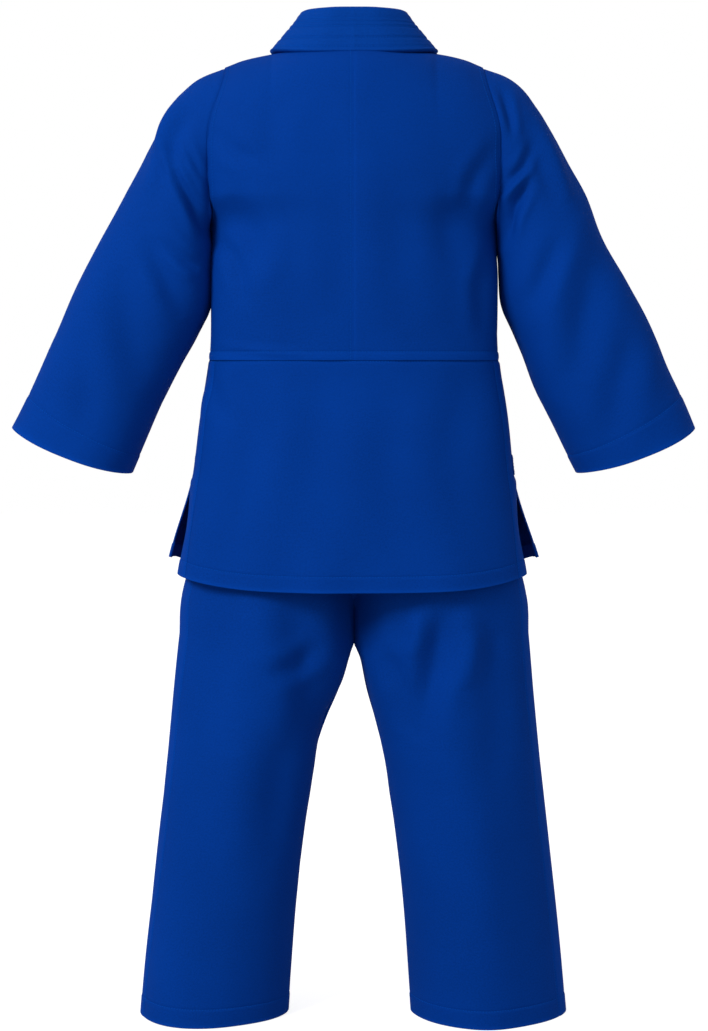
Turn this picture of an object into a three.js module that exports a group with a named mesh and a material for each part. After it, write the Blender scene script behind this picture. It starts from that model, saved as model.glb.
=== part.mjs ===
// A two-piece martial arts uniform in cotton drill: a wrap-over jacket and a pair of trousers.
// Millimetres, +Z up, the back of the uniform towards +Y and the wearer's left towards +X.
// Every cloth panel is a thin closed shell of constant depth, cut at its real seams.
import * as THREE from "three";

// Heights of the main lines above the trouser hems.
const neckSeam = 1252;
const neckSeamBack = 1246;
const shoulderTop = 1224;
const armholeMiddle = 1121;
const armpit = 1019;
const frontSplit = 1040;
const waistSeam = 860;
const ventTop = 713;
const jacketHem = 568;
const sideHemRise = 16;
const frontHemRise = 26;
const trouserTop = 905;
const trouserSeat = 865;
const hipCut = 505;
// Widths and depths shared by several pieces.
const shoulderHalf = 184;
const neckHalf = 103;
const neckDepthBack = 62;
const armholeDepth = 70;
const lapelWidth = 53;
const wrapRamp = [114, 146];
const wrapStep = 9;
const neckEase = 3.5;
const foldAcross = [200, -10];
const foldHeights = [620, 1200];
const frontFlare = 24;
const cuffDrop = 12;
// Cloth thicknesses, and the gaps where edges meet at a seam and where one layer lies on another.
const clothThick = 3;
const facingThick = 1.5;
const patchThick = 1.8;
const lapelThick = 6;
const lapelProud = 4;
const bandHalfThick = 4.5;
const bandWall = 2;
const seamGap = 0.4;
const sideGap = 0.8;
const layerGap = 0.7;
const hemDepth = 24;
// The uniform is centred front to back on its own box.
const centreShift = 6;

const rightAngle = Math.PI / 2;
const mix = THREE.MathUtils.lerp;

// Half width of the jacket, and the depth of its back and front from the side seams, at a height.
const jacketSide = [[jacketHem, 223], [640, 216], [ventTop, 206], [780, 198.5], [waistSeam, 187], [900, 184.5],
  [armpit, shoulderHalf], [armholeMiddle, shoulderHalf]];
const jacketBack = [[jacketHem, 118], [ventTop, 112], [waistSeam, 101], [980, 108], [1090, 114],
  [armholeMiddle, 114]];
const jacketFront = [[jacketHem, 117], [ventTop, 112], [waistSeam, 104], [980, 112], [1070, 117],
  [armholeMiddle, 114]];
// Where the outer edge of the left lapel crosses the front, by level.
const lapelLine = [[jacketHem, -58], [ventTop, -54], [waistSeam, -45], [960, 5], [1060, 53], [1150, 84],
  [1225, 98], [neckSeam, neckHalf]];
// Half width and depths of the trousers' seat, by height.
const seatSide = [[hipCut, 220], [560, 205], [600, 202], [650, 202], [ventTop, 197], [800, 180], [trouserSeat, 162],
  [trouserTop, 158]];
const seatBack = [[hipCut, 90], [600, 92], [ventTop, 93], [800, 89], [trouserSeat, 83], [trouserTop, 82]];
const seatFront = [[hipCut, 88], [600, 90], [ventTop, 91], [800, 87], [trouserSeat, 81], [trouserTop, 80]];
// Outer and inner edge of a trouser leg, and its depths, by height.
const legOuter = [[0, 280], [94, 271], [216, 258], [295, 249], [420, 234], [hipCut, 226]];
const legInner = [[0, 81], [163, 68], [308, 49], [392, 31], [436, 17], [hipCut, 2.5]];
const legBack = [[0, 84], [300, 84], [hipCut, 90]];
const legFront = [[0, 82], [300, 82], [hipCut, 88]];
// Outer (shoulder) and inner (underarm) line of a sleeve, as [sideways, height], armhole to cuff.
const sleeveOver = [[184.4, 1224], [212, 1207], [249, 1159], [279, 1104], [309, 1046], [338, 988], [383, 898],
  [442, 773]];
const sleeveUnder = [[184.4, 1019], [187, 995], [189.5, 965], [193, 930], [206, 893], [224, 853], [256, 783],
  [290, 714]];

// A smooth curve through a few [position, value] pairs, read at one position.
function smoothValue(pairs, position) {
  const last = pairs.length - 1;
  if (position <= pairs[0][0]) return pairs[0][1];
  if (position >= pairs[last][0]) return pairs[last][1];
  let i = 0;
  while (position > pairs[i + 1][0]) i += 1;
  const slope = (k) => {
    const before = pairs[Math.max(k - 1, 0)];
    const after = pairs[Math.min(k + 1, last)];
    return (after[1] - before[1]) / (after[0] - before[0]);
  };
  const width = pairs[i + 1][0] - pairs[i][0];
  const t = (position - pairs[i][0]) / width;
  const start = pairs[i][1] * (2 * t ** 3 - 3 * t ** 2 + 1) + slope(i) * width * (t ** 3 - 2 * t ** 2 + t);
  const end = pairs[i + 1][1] * (3 * t ** 2 - 2 * t ** 3) + slope(i + 1) * width * (t ** 3 - t ** 2);
  return start + end;
}

// 0 before one value, 1 after another and an S curve between them.
function smoothStep(from, to, value) {
  const t = THREE.MathUtils.clamp((value - from) / (to - from), 0, 1);
  return t * t * (3 - 2 * t);
}

// Joins an outer and an inner grid of points into one closed body that faces out. A grid that wraps is a
// tube with two open ends; any other grid also has a wall along its first and last column.
function closeShell(outer, inner, columns, rows, wraps) {
  const faces = [];
  const depth = outer.length;
  const spans = wraps ? columns : columns - 1;
  const at = (i, j) => j * columns + (i % columns);
  const quad = (a, b, c, d) => faces.push(a, b, c, a, c, d);
  for (let j = 0; j < rows - 1; j += 1) {
    for (let i = 0; i < spans; i += 1) {
      const [a, b, c, d] = [at(i, j), at(i + 1, j), at(i + 1, j + 1), at(i, j + 1)];
      quad(a, b, c, d);
      quad(a + depth, d + depth, c + depth, b + depth);
    }
    if (!wraps) {
      const [first, firstUp] = [at(0, j), at(0, j + 1)];
      const [last, lastUp] = [at(columns - 1, j), at(columns - 1, j + 1)];
      quad(first, firstUp, firstUp + depth, first + depth);
      quad(lastUp, last, last + depth, lastUp + depth);
    }
  }
  for (let i = 0; i < spans; i += 1) {
    const [low, lowNext] = [at(i, 0), at(i + 1, 0)];
    const [high, highNext] = [at(i, rows - 1), at(i + 1, rows - 1)];
    quad(lowNext, low, low + depth, lowNext + depth);
    quad(high, highNext, highNext + depth, high + depth);
  }
  const points = [...outer, ...inner];
  const turned = enclosedVolume(points, faces) < 0;
  const geometry = new THREE.BufferGeometry();
  geometry.setAttribute("position", new THREE.Float32BufferAttribute(points.flatMap((p) => p.toArray()), 3));
  geometry.setIndex(turned ? faces.reverse() : faces);
  geometry.computeVertexNormals();
  return geometry;
}

// Volume inside a triangle list, negative when its faces point inwards.
function enclosedVolume(points, faces) {
  let volume = 0;
  for (let k = 0; k < faces.length; k += 3) {
    const [a, b, c] = [points[faces[k]], points[faces[k + 1]], points[faces[k + 2]]];
    volume += a.dot(b.clone().cross(c)) / 6;
  }
  return volume;
}

// A shell from surface(u, v, out): its outer grid at out = 0 and its inner grid one thickness further in.
function shell(surface, uCount, vCount, thickness, wraps = false) {
  const columns = wraps ? uCount : uCount + 1;
  const grid = (out) => {
    const points = [];
    for (let j = 0; j <= vCount; j += 1) {
      for (let i = 0; i < columns; i += 1) {
        points.push(surface(i / uCount, j / vCount, out));
      }
    }
    return points;
  };
  return closeShell(grid(0), grid(-thickness), columns, vCount + 1, wraps);
}

const garments = new THREE.Group();
garments.position.y = centreShift;

const cloth = { color: 0x0a3aa0, roughness: 0.85, metalness: 0 };
const quilted = { color: 0x093694, roughness: 0.8, metalness: 0 };
const stuffing = { color: 0xd9d6cc, roughness: 0.9, metalness: 0 };
const elastic = { color: 0xe8e8e4, roughness: 0.7, metalness: 0 };

function add(name, geometry, finish = cloth) {
  const mesh = new THREE.Mesh(geometry, new THREE.MeshStandardMaterial(finish));
  mesh.name = name;
  garments.add(mesh);
}

// The same surface on the other side of the wearer.
function mirrored(surface) {
  return (u, v, out) => {
    const point = surface(u, v, out);
    point.x = -point.x;
    return point;
  };
}

// Adds a left piece and its mirror image on the right.
function addPair(name, surface, uCount, vCount, thickness, finish = cloth, wraps = false) {
  add(name.replace("SIDE", "left"), shell(surface, uCount, vCount, thickness, wraps), finish);
  add(name.replace("SIDE", "right"), shell(mirrored(surface), uCount, vCount, thickness, wraps), finish);
}

// ---- The jacket's body surface ----

const sideAt = (level) => smoothValue(jacketSide, Math.min(level, armholeMiddle));

// Half depth of the armhole edge at a height: an ellipse, and nothing below the armpit.
function armholeEdge(height) {
  const drop = (armholeMiddle - height) / (armholeMiddle - armpit);
  return armholeDepth * Math.sqrt(Math.max(0, 1 - drop * drop));
}

// The line where back and front meet above: the neck seam in the middle and the shoulder seam outside it.
function topLine(x, isBack) {
  const across = Math.abs(x) / neckHalf;
  if (across < 1) {
    const y = isBack ? neckDepthBack * Math.sqrt(1 - across ** 2.5) : 0;
    return { y, z: mix(neckSeamBack, neckSeam, across * across) };
  }
  const beyond = (Math.abs(x) - neckHalf) / (shoulderHalf - neckHalf);
  return { y: 0, z: neckSeam - (neckSeam - shoulderTop) * (0.7 * beyond + 0.3 * beyond * beyond) };
}

// A point of the jacket body at an angle from the centre line (0) to the side (a right angle) and a level.
// Below the middle of the armhole the level is a height. Above it the cloth closes towards the top line
// along a quarter of an ellipse, and the level runs along that arc.
function jacketPoint(angle, level, isBack, out) {
  const height = Math.min(level, armholeMiddle);
  const x = (sideAt(level) + out) * Math.sin(angle);
  const depth = smoothValue(isBack ? jacketBack : jacketFront, height) + out;
  const edge = armholeEdge(height) + (height > armpit ? out : 0);
  const crown = mix(0.58, 0.8, smoothStep(ventTop, waistSeam, height)) + 1.2 * smoothStep(900, armholeMiddle, height);
  let y = edge + (depth - edge) * Math.cos(angle) ** crown;
  let z = height;
  if (level > armholeMiddle) {
    const top = topLine(x, isBack);
    const climb = Math.min((level - armholeMiddle) / (neckSeam - armholeMiddle), 1) * rightAngle;
    z = armholeMiddle + (top.z + out - armholeMiddle) * Math.sin(climb);
    y = top.y + (y - top.y) * Math.cos(climb);
  }
  return new THREE.Vector3(x, isBack ? y + sideGap : -y - sideGap, z);
}

const angleOf = (x, level) => Math.asin(THREE.MathUtils.clamp(x / sideAt(level), -1, 1));

// A body panel between two sideways limits, given as functions of the level, and two levels.
// proud(x, level) is how far the whole panel stands off the body surface.
function bodyPanel(fromX, toX, lowLevel, highLevel, isBack, proud = () => 0) {
  return (u, v, out) => {
    const level = mix(lowLevel, highLevel, v);
    const angle = mix(angleOf(fromX(level), level), angleOf(toX(level), level), u);
    return jacketPoint(angle, level, isBack, out + proud(sideAt(level) * Math.sin(angle), level));
  };
}

const centreEdge = () => seamGap;
const sideEdge = (level) => sideAt(level);
const lapelOut = (level) => smoothValue(lapelLine, level);
const lapelIn = (level) => lapelOut(level) - lapelWidth;
const besideLapel = (level) => lapelOut(level) + seamGap * 2 + neckEase * smoothStep(1090, 1150, level);
const insideLapel = (level) => lapelOut(level) - seamGap * 2;

// The outer, left front stands off the inner one where they overlap and joins the side flush.
function wrapProud(x, level) {
  const across = 1 - smoothStep(...wrapRamp, x);
  return wrapStep * across * (1 - smoothStep(1065, 1130, level));
}

// ---- Jacket back ----

const ridgeLevel = neckSeam;
addPair("back_panel_SIDE", bodyPanel(centreEdge, sideEdge, waistSeam + seamGap, ridgeLevel, true), 9, 10, clothThick);

// A surface across the whole back or front, from the right side seam to the left one.
function fullWidth(low, high, isBack, proud = 0) {
  return (u, v, out) => {
    const angle = mix(-rightAngle, rightAngle, u);
    const level = mix(low(angle), high, v);
    return jacketPoint(angle, level, isBack, out + proud);
  };
}

const hemLevel = (angle) => jacketHem + sideHemRise * Math.sin(angle) ** 4;
const skirtTop = waistSeam - seamGap;
add("skirt_back_upper", shell(fullWidth(() => ventTop + seamGap, skirtTop, true), 18, 4, clothThick));
add("back_tail", shell(fullWidth(hemLevel, ventTop - seamGap, true), 18, 4, clothThick));

// A strip behind the cloth: the turned hem of the tail and the tape behind the waist seam.
const behindCloth = -clothThick - layerGap;
const tailFacing = (u, v, out) => {
  const angle = mix(-rightAngle, rightAngle, u);
  return jacketPoint(angle, hemLevel(angle) + mix(2, hemDepth, v), true, out + behindCloth);
};
add("back_tail_hem_facing", shell(tailFacing, 18, 1, facingThick));
add("waist_tape_back", shell(fullWidth(() => waistSeam - 9, waistSeam + 9, true, behindCloth), 18, 1, facingThick));

// ---- Jacket fronts ----

// Below the vents a front skirt hangs free and its side edge stands away from the hips.
function skirtFlare(point, level) {
  const fall = THREE.MathUtils.clamp((ventTop - level) / (ventTop - jacketHem), 0, 1);
  point.x += frontFlare * fall ** 1.3 * Math.max(0, point.x / sideAt(level)) ** 10;
  return point;
}

function frontSkirt(fromX, toX, proud) {
  const flat = bodyPanel(fromX, toX, jacketHem, skirtTop, false, proud);
  return (u, v, out) => {
    const level = mix(jacketHem, skirtTop, v);
    const point = skirtFlare(flat(u, v, out), level);
    const share = Math.max(0, point.x / sideAt(jacketHem));
    point.z += frontHemRise * smoothStep(ventTop, jacketHem, level) * share ** 4;
    return point;
  };
}

const flush = () => 0;
// The outer front opens along a slanting line from the chest down to the corner of the skirt.
const foldX = (level) => mix(...foldAcross, (level - foldHeights[0]) / (foldHeights[1] - foldHeights[0]));
const hingeIn = (level) => foldX(level) - seamGap;
const hingeOut = (level) => Math.min(foldX(level) + seamGap, sideAt(level) - 2);
const lowFront = waistSeam + seamGap;
const rightFront = bodyPanel(besideLapel, sideEdge, lowFront, ridgeLevel, false);
add("front_right_panel", shell(mirrored(rightFront), 8, 12, clothThick));
add("skirt_front_right", shell(mirrored(frontSkirt(besideLapel, sideEdge, flush)), 9, 6, clothThick));

const leftChest = bodyPanel(besideLapel, sideEdge, frontSplit + seamGap, ridgeLevel, false, wrapProud);
const leftSide = bodyPanel(hingeOut, sideEdge, lowFront, frontSplit - seamGap, false, wrapProud);
const leftWrap = bodyPanel(besideLapel, hingeIn, lowFront, frontSplit - seamGap, false, wrapProud);
add("front_left_chest", shell(leftChest, 8, 8, clothThick));
add("front_left_side", shell(leftSide, 7, 5, clothThick));
add("front_left_wrap", shell(leftWrap, 8, 5, clothThick));
add("skirt_front_left_side", shell(frontSkirt(hingeOut, sideEdge, wrapProud), 5, 6, clothThick));
add("skirt_front_left_wrap", shell(frontSkirt(besideLapel, hingeIn, wrapProud), 8, 6, clothThick));

// ---- Collar: a band that stands round the neck and runs down both fronts as the lapels ----

const onFront = (x, level, out) => jacketPoint(angleOf(x, level), level, false, out);
const neckPoint = (x, y, z) => new THREE.Vector3(x, y, z);
const ribbonLevels = [armholeMiddle, 1092, 1066, frontSplit];
const neckBase = [neckPoint(0, neckDepthBack, 1248), neckPoint(50, 56, 1249), neckPoint(87, 34, 1252),
  neckPoint(neckHalf, 0, 1254)];
const neckEdge = [neckPoint(0, 43, 1300), neckPoint(36, 38, 1300), neckPoint(58, 18, 1299), neckPoint(62, -12, 1297)];
const frontEdge = [neckPoint(56, -52, 1276), neckPoint(42, -93, 1228)];

// The base and free edge of the band on one side, from the centre back to the split in the front.
function ribbonCurves(proud) {
  const base = [...neckBase, onFront(98, 1225, 0), onFront(91, 1180, 0)];
  const edge = [...neckEdge, ...frontEdge];
  ribbonLevels.forEach((level) => {
    base.push(onFront(insideLapel(level), level, proud(level)));
    edge.push(onFront(lapelIn(level), level, proud(level)));
  });
  return [new THREE.CatmullRomCurve3(base), new THREE.CatmullRomCurve3(edge)];
}

// A point of the band: along runs down the curves, across from base (0) to edge (1), off is its distance
// outward from the band's own middle.
function ribbonPoint(curves, along, across, off) {
  const [base, edge] = curves.map((curve) => curve.getPoint(along));
  const up = edge.clone().sub(base);
  const run = curves[0].getTangent(along).add(curves[1].getTangent(along));
  const outward = up.clone().cross(run).normalize();
  return base.addScaledVector(up, across).addScaledVector(outward, off);
}

const leftRibbon = ribbonCurves((level) => wrapProud(0, level));
const rightRibbon = ribbonCurves(() => 0);
const shoulderShare = 3 / 9;

// The neck band is folded over at its top edge, round a core. u runs up the outside and down the inside.
function neckBand(u, v, out) {
  const half = bandHalfThick + out;
  const along = mix(-shoulderShare, shoulderShare, v) * 0.985;
  const fold = THREE.MathUtils.clamp((u - 0.4) / 0.2, 0, 1) * Math.PI;
  const across = u < 0.5 ? Math.min(u / 0.4, 1) : Math.min((1 - u) / 0.4, 1);
  const point = ribbonPoint(leftRibbon, Math.abs(along), across, half * Math.cos(fold));
  const up = ribbonPoint(leftRibbon, Math.abs(along), 1, 0).sub(ribbonPoint(leftRibbon, Math.abs(along), 0, 0));
  point.addScaledVector(up.normalize(), half * Math.sin(fold));
  point.x *= Math.sign(along) || 1;
  return point;
}

// A flat strip of the band between two shares of its length: the core, and the upper lapels.
function bandStrip(curves, from, to, low, high, off) {
  return (u, v, out) => {
    const along = mix(from, to, v);
    const point = ribbonPoint(curves, Math.abs(along), mix(low, high, u), off + out);
    point.x *= Math.sign(along) || 1;
    return point;
  };
}

const coreHalf = 1.1;
const coreShare = shoulderShare * 0.985 * 10 / 12;
add("collar_neck_band", shell(neckBand, 10, 12, bandWall), quilted);
add("collar_core", shell(bandStrip(leftRibbon, -coreShare, coreShare, 0.05, 0.9, coreHalf), 1, 10, coreHalf * 2), stuffing);

// The lapels carry on from the band: the upper part in the neckline, the lower part down to the skirt hem.
const upperStrip = (curves) => bandStrip(curves, shoulderShare, 0.998, 0, 1, lapelProud);
const lowerStrip = (proud) => bodyPanel(lapelIn, insideLapel, jacketHem, frontSplit - seamGap, false,
  (x, level) => proud(x, level) + lapelProud);
add("lapel_left_upper", shell(upperStrip(leftRibbon), 2, 10, lapelThick), quilted);
add("lapel_right_upper", shell(mirrored(upperStrip(rightRibbon)), 2, 10, lapelThick), quilted);
add("lapel_left_lower", shell(lowerStrip(wrapProud), 2, 10, lapelThick), quilted);
add("lapel_right_lower", shell(mirrored(lowerStrip(flush)), 2, 10, lapelThick), quilted);

// ---- Underarm gussets and vent patches, which lie across the side seams ----

// A patch across a side seam: u runs from the back, over the seam, to the front.
function sidePatch(reach, low, high, proud) {
  return (u, v, out) => {
    const turn = mix(-reach, reach, u);
    const level = mix(low, high, v);
    const point = jacketPoint(rightAngle - Math.abs(turn), level, true, out + proud);
    point.y = (point.y - sideGap) * (turn < 0 ? 1 : -1);
    return point;
  };
}

addPair("underarm_gusset_SIDE", sidePatch(0.24, 915, 1012, behindCloth - 1), 6, 3, facingThick);
addPair("vent_patch_SIDE", sidePatch(0.1, ventTop + 1, ventTop + 26, patchThick + layerGap), 4, 1, patchThick);

// ---- Sleeves ----

const sleeveCurve = (pairs) => new THREE.CatmullRomCurve3(pairs.map(([x, z]) => neckPoint(x, 0, z)));
const overCurve = sleeveCurve(sleeveOver);
const underCurve = sleeveCurve(sleeveUnder);

// A sleeve ring runs from the shoulder line over the back, the underarm line and the front.
function sleevePoint(u, share, out) {
  const [over, under] = [overCurve.getPoint(share), underCurve.getPoint(share)];
  const middle = over.clone().add(under).multiplyScalar(0.5);
  const half = over.clone().sub(middle);
  const turn = u * 2 * Math.PI;
  half.setLength(half.length() + out);
  const point = middle.addScaledVector(half, Math.cos(turn));
  const swell = Math.sin(turn);
  point.y = (armholeDepth + out) * swell;
  const drop = cuffDrop * share ** 3 * swell * swell * (swell > 0 ? 1 : 0.5);
  return point.add(neckPoint(0.36, 0, -0.93).multiplyScalar(drop));
}

const sleeveFacing = (u, v, out) => sleevePoint(u, mix(0.955, 0.997, v), out + behindCloth);
addPair("sleeve_SIDE", sleevePoint, 16, 10, clothThick, cloth, true);
addPair("cuff_hem_facing_SIDE", sleeveFacing, 16, 1, facingThick, cloth, true);

// ---- Trousers ----

// A point of the seat at a share (0 centre seam to 1 side seam) and a height. The section is one oval at the
// waist and parts into two lobes at the crotch.
function seatPoint(share, height, isBack, out) {
  const side = smoothValue(seatSide, height) + out;
  const depth = smoothValue(isBack ? seatBack : seatFront, height) + out;
  const parted = 1 - smoothStep(hipCut, 665, height);
  const oval = [side * Math.sin(share * rightAngle), depth * Math.cos(share * rightAngle) ** 0.8];
  const lobe = lobePoint(share, hipCut, depth, out);
  const x = mix(oval[0], lobe[0], parted) + seamGap;
  const y = mix(oval[1], lobe[1], parted) + sideGap;
  return neckPoint(x, isBack ? y : -y, height);
}

// One side of a leg's section: half an oval from the inner edge (0) to the outer edge (1).
function lobePoint(share, height, depth, out) {
  const [inner, outer] = [smoothValue(legInner, height), smoothValue(legOuter, height)];
  const middle = (inner + outer) / 2;
  const reach = (outer - inner) / 2 + out;
  return [middle - reach * Math.cos(share * Math.PI), depth * Math.max(0, Math.sin(share * Math.PI)) ** 0.9];
}

function legPoint(share, height, isBack, out) {
  const depth = smoothValue(isBack ? legBack : legFront, height) + out;
  const [x, y] = lobePoint(share, height, depth, out);
  return neckPoint(x + seamGap, isBack ? y + sideGap : -y - sideGap, height);
}

const seatHalf = (isBack) => (u, v, out) => seatPoint(u, mix(hipCut + seamGap, trouserSeat - seamGap, v), isBack, out);
const legHalf = (isBack) => (u, v, out) => legPoint(u, (hipCut - seamGap) * v, isBack, out);
addPair("trousers_back_SIDE", seatHalf(true), 9, 6, clothThick);
addPair("trousers_front_SIDE", seatHalf(false), 9, 6, clothThick);
addPair("leg_SIDE_back", legHalf(true), 10, 7, clothThick);
addPair("leg_SIDE_front", legHalf(false), 10, 7, clothThick);

// The waistband is a casing folded over at the top, with a band of elastic inside it.
function waistRing(turn, height, out) {
  const isBack = Math.sin(turn) >= 0;
  const side = smoothValue(seatSide, trouserSeat) + out;
  const depth = smoothValue(isBack ? seatBack : seatFront, trouserSeat) + out;
  const swell = Math.abs(Math.sin(turn)) ** 0.9;
  return neckPoint(side * Math.cos(turn), (isBack ? 1 : -1) * depth * swell, height);
}

const casingHalf = 3.5;
const casingWall = 1.5;
const casing = (u, v, out) => {
  const half = casingHalf + out;
  const fold = THREE.MathUtils.clamp((v - 0.4) / 0.2, 0, 1) * Math.PI;
  const climb = v < 0.5 ? Math.min(v / 0.4, 1) : Math.min((1 - v) / 0.4, 1);
  const height = mix(trouserSeat + seamGap, trouserTop - casingHalf, climb) + half * Math.sin(fold);
  return waistRing(u * 2 * Math.PI, height, half * Math.cos(fold) - casingHalf);
};
const elasticRing = (u, v, out) => waistRing(u * 2 * Math.PI, mix(trouserSeat + 3, trouserTop - 6, v),
  out - casingHalf + 1.2);
add("trousers_waistband", shell(casing, 18, 8, casingWall, true));
add("waist_elastic", shell(elasticRing, 18, 1, 2.4, true), elastic);

// The crotch gusset is a diamond laid inside the crotch: its ends climb the front and back seams.
const gussetReach = 46;
const gussetHalf = 20;
const gusset = (u, v, out) => {
  const y = mix(-gussetReach, gussetReach, v);
  const half = gussetHalf * (1.05 - Math.abs(y) / gussetReach);
  const x = mix(-half, half, u);
  const climb = 80 * (Math.abs(y) / gussetReach) ** 0.8;
  return neckPoint(x, y, hipCut + 18 + climb - 6 * Math.abs(x / gussetHalf) + out);
};
add("crotch_gusset", shell(gusset, 4, 8, facingThick));

const legFacing = (u, v, out) => {
  const turn = u * 2;
  const isBack = turn <= 1;
  return legPoint(isBack ? turn : 2 - turn, mix(2, hemDepth, v), isBack, out + behindCloth);
};
const kneeProud = patchThick + layerGap + 0.5;
const kneePatch = (u, v, out) => legPoint(mix(0.2, 0.8, u), mix(225, 410, v), false, out + kneeProud);
addPair("leg_hem_facing_SIDE", legFacing, 20, 1, facingThick, cloth, true);
addPair("knee_patch_SIDE", kneePatch, 6, 4, patchThick);

export default garments;
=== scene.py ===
import bpy
import numpy as np
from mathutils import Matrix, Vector


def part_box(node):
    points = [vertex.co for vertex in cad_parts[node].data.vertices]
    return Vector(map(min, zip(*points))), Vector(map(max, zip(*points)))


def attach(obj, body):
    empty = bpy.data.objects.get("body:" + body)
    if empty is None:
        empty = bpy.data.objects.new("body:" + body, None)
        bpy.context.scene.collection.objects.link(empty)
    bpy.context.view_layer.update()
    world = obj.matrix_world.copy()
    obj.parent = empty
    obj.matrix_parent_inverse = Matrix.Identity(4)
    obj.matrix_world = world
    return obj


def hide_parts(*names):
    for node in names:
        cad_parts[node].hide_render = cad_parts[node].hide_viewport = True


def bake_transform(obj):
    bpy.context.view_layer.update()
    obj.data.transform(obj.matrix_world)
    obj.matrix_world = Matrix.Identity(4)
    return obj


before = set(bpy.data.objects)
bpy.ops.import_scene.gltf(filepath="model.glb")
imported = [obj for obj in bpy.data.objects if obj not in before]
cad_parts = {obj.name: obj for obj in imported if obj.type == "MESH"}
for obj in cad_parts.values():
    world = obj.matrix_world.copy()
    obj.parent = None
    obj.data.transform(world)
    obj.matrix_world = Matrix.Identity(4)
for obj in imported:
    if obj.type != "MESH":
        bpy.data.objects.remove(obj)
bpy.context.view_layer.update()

print("frame loaded:", len(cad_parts), "nodes")


def low(node, axis):
    # where a node's box starts along an axis
    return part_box(node)[0][axis]


def high(node, axis):
    # and where it ends
    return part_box(node)[1][axis]


# gaps, heights and widths in metres; what the frame gives is read from it
seamGap = 0.0003  # half of the gap left between two sewn edges
seamLap = 0.0005  # how far the rounded edges of two sewn pieces pass each other
middleY = (low("back_panel_left", 1) + high("front_left_side", 1)) / 2
ventZ = high("back_tail", 2) + 0.0004
waistZ = high("skirt_back_upper", 2) + 0.0004
ridgeZ = high("front_right_panel", 2)  # top of the shoulder seam, where it meets the neck
splitZ = high("front_left_wrap", 2) + 0.0004
hipZ = low("trousers_back_left", 2) - 0.0004
seatZ = high("trousers_back_left", 2) + 0.0004
casingZ = high("trousers_waistband", 2)
patchLow, patchHigh = low("knee_patch_left", 2), high("knee_patch_left", 2)
jacketHemZ, shoulderZ, neckBackZ = 0.568, 1.229, 1.246
armMidZ, armpitZ = 1.121, 1.019
shoulderHalf, neckHalf = 0.184, 0.103
rightAngle = np.pi / 2
cloth = {"thick": 0.0022, "hemThick": 0.0040, "step": 0.0034, "hem": 0.024, "backHem": 0.020,
         "felled": 0.0008, "hemProud": 0.0006, "rowDip": 0.0007, "rowWidth": 0.0013}


def through(*pairs):
    # a smooth curve through (position, value) pairs: cubic pieces whose slope at each pair is that of its neighbours
    xs, ys = np.array(pairs, float).T
    slopes = np.empty(len(xs))
    slopes[1:-1] = (ys[2:] - ys[:-2]) / (xs[2:] - xs[:-2])
    slopes[0] = (ys[1] - ys[0]) / (xs[1] - xs[0])
    slopes[-1] = (ys[-1] - ys[-2]) / (xs[-1] - xs[-2])

    def value(x):
        x = np.clip(x, xs[0], xs[-1])
        i = np.clip(np.searchsorted(xs, x, side="right") - 1, 0, len(xs) - 2)
        width = xs[i + 1] - xs[i]
        t = (x - xs[i]) / width
        start = ys[i] * (2 * t**3 - 3 * t**2 + 1) + slopes[i] * width * (t**3 - 2 * t**2 + t)
        end = ys[i + 1] * (3 * t**2 - 2 * t**3) + slopes[i + 1] * width * (t**3 - t**2)
        return start + end
    return value


def throughPoints(points):
    # the same curve through points in space, read at a share of the way along the list
    points = np.array(points, float)
    shares = np.linspace(0, 1, len(points))
    curves = [through(*zip(shares, points[:, k])) for k in range(points.shape[1])]
    return lambda share: np.stack([curve(share) for curve in curves], -1)


def ease(start, end, value):
    # 0 before start, 1 after end and an S curve between them
    t = np.clip((value - start) / (end - start), 0, 1)
    return t * t * (3 - 2 * t)


def mix(a, b, share):
    # a at share 0, b at share 1 and a straight line between
    return a + (b - a) * share


def bell(distance, width):
    # 1 at no distance, falling away smoothly over a width or two
    return np.exp(-(distance / width) ** 2)


def lines(start, end, step, marks=(), unit=1.0):
    # even steps from start to end, with finer ones beside each mark and each end; unit turns metres into steps' unit
    near = np.array([0, 0.0008, 0.0017, 0.0028, 0.0044]) * unit
    parts = [np.linspace(start, end, max(2, int(round((end - start) / step))) + 1), start + near, end - near]
    for mark in marks:
        parts += [mark + near, mark - near]
    merged = np.sort(np.concatenate(parts))
    merged = merged[(merged >= start) & (merged <= end)]
    kept = [start]
    for value in merged:
        if value - kept[-1] > 0.0006 * unit:
            kept.append(value)
    kept[-1] = end
    return np.array(kept)


def unitRows(vectors):
    # each vector divided by its length
    return vectors / np.maximum(np.linalg.norm(vectors, axis=-1, keepdims=True), 1e-12)


def outward(points, wraps=False, inside=None):
    # unit normals of a grid of points, facing away from the middle of the body that it covers
    across = np.gradient(points, axis=1)
    if wraps:
        across = (np.roll(points, -1, axis=1) - np.roll(points, 1, axis=1)) / 2
    normal = unitRows(np.cross(across, np.gradient(points, axis=0)))
    if inside is None:
        inside = points.mean(axis=1, keepdims=True) if wraps else np.array([0, middleY, 0]) + points * [0.4, 0, 1]
    return normal if (normal * (points - inside)).sum() >= 0 else -normal


def runs(points, wraps=False):
    # how far each column and each row lies from the first, on average, in metres along the cloth
    ring = np.concatenate([points, points[:, :1]], axis=1) if wraps else points
    across = np.linalg.norm(np.diff(ring, axis=1), axis=-1).mean(0)
    along = np.linalg.norm(np.diff(points, axis=0), axis=-1).mean(1)
    return np.concatenate([[0], np.cumsum(across)]), np.concatenate([[0], np.cumsum(along)])


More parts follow.
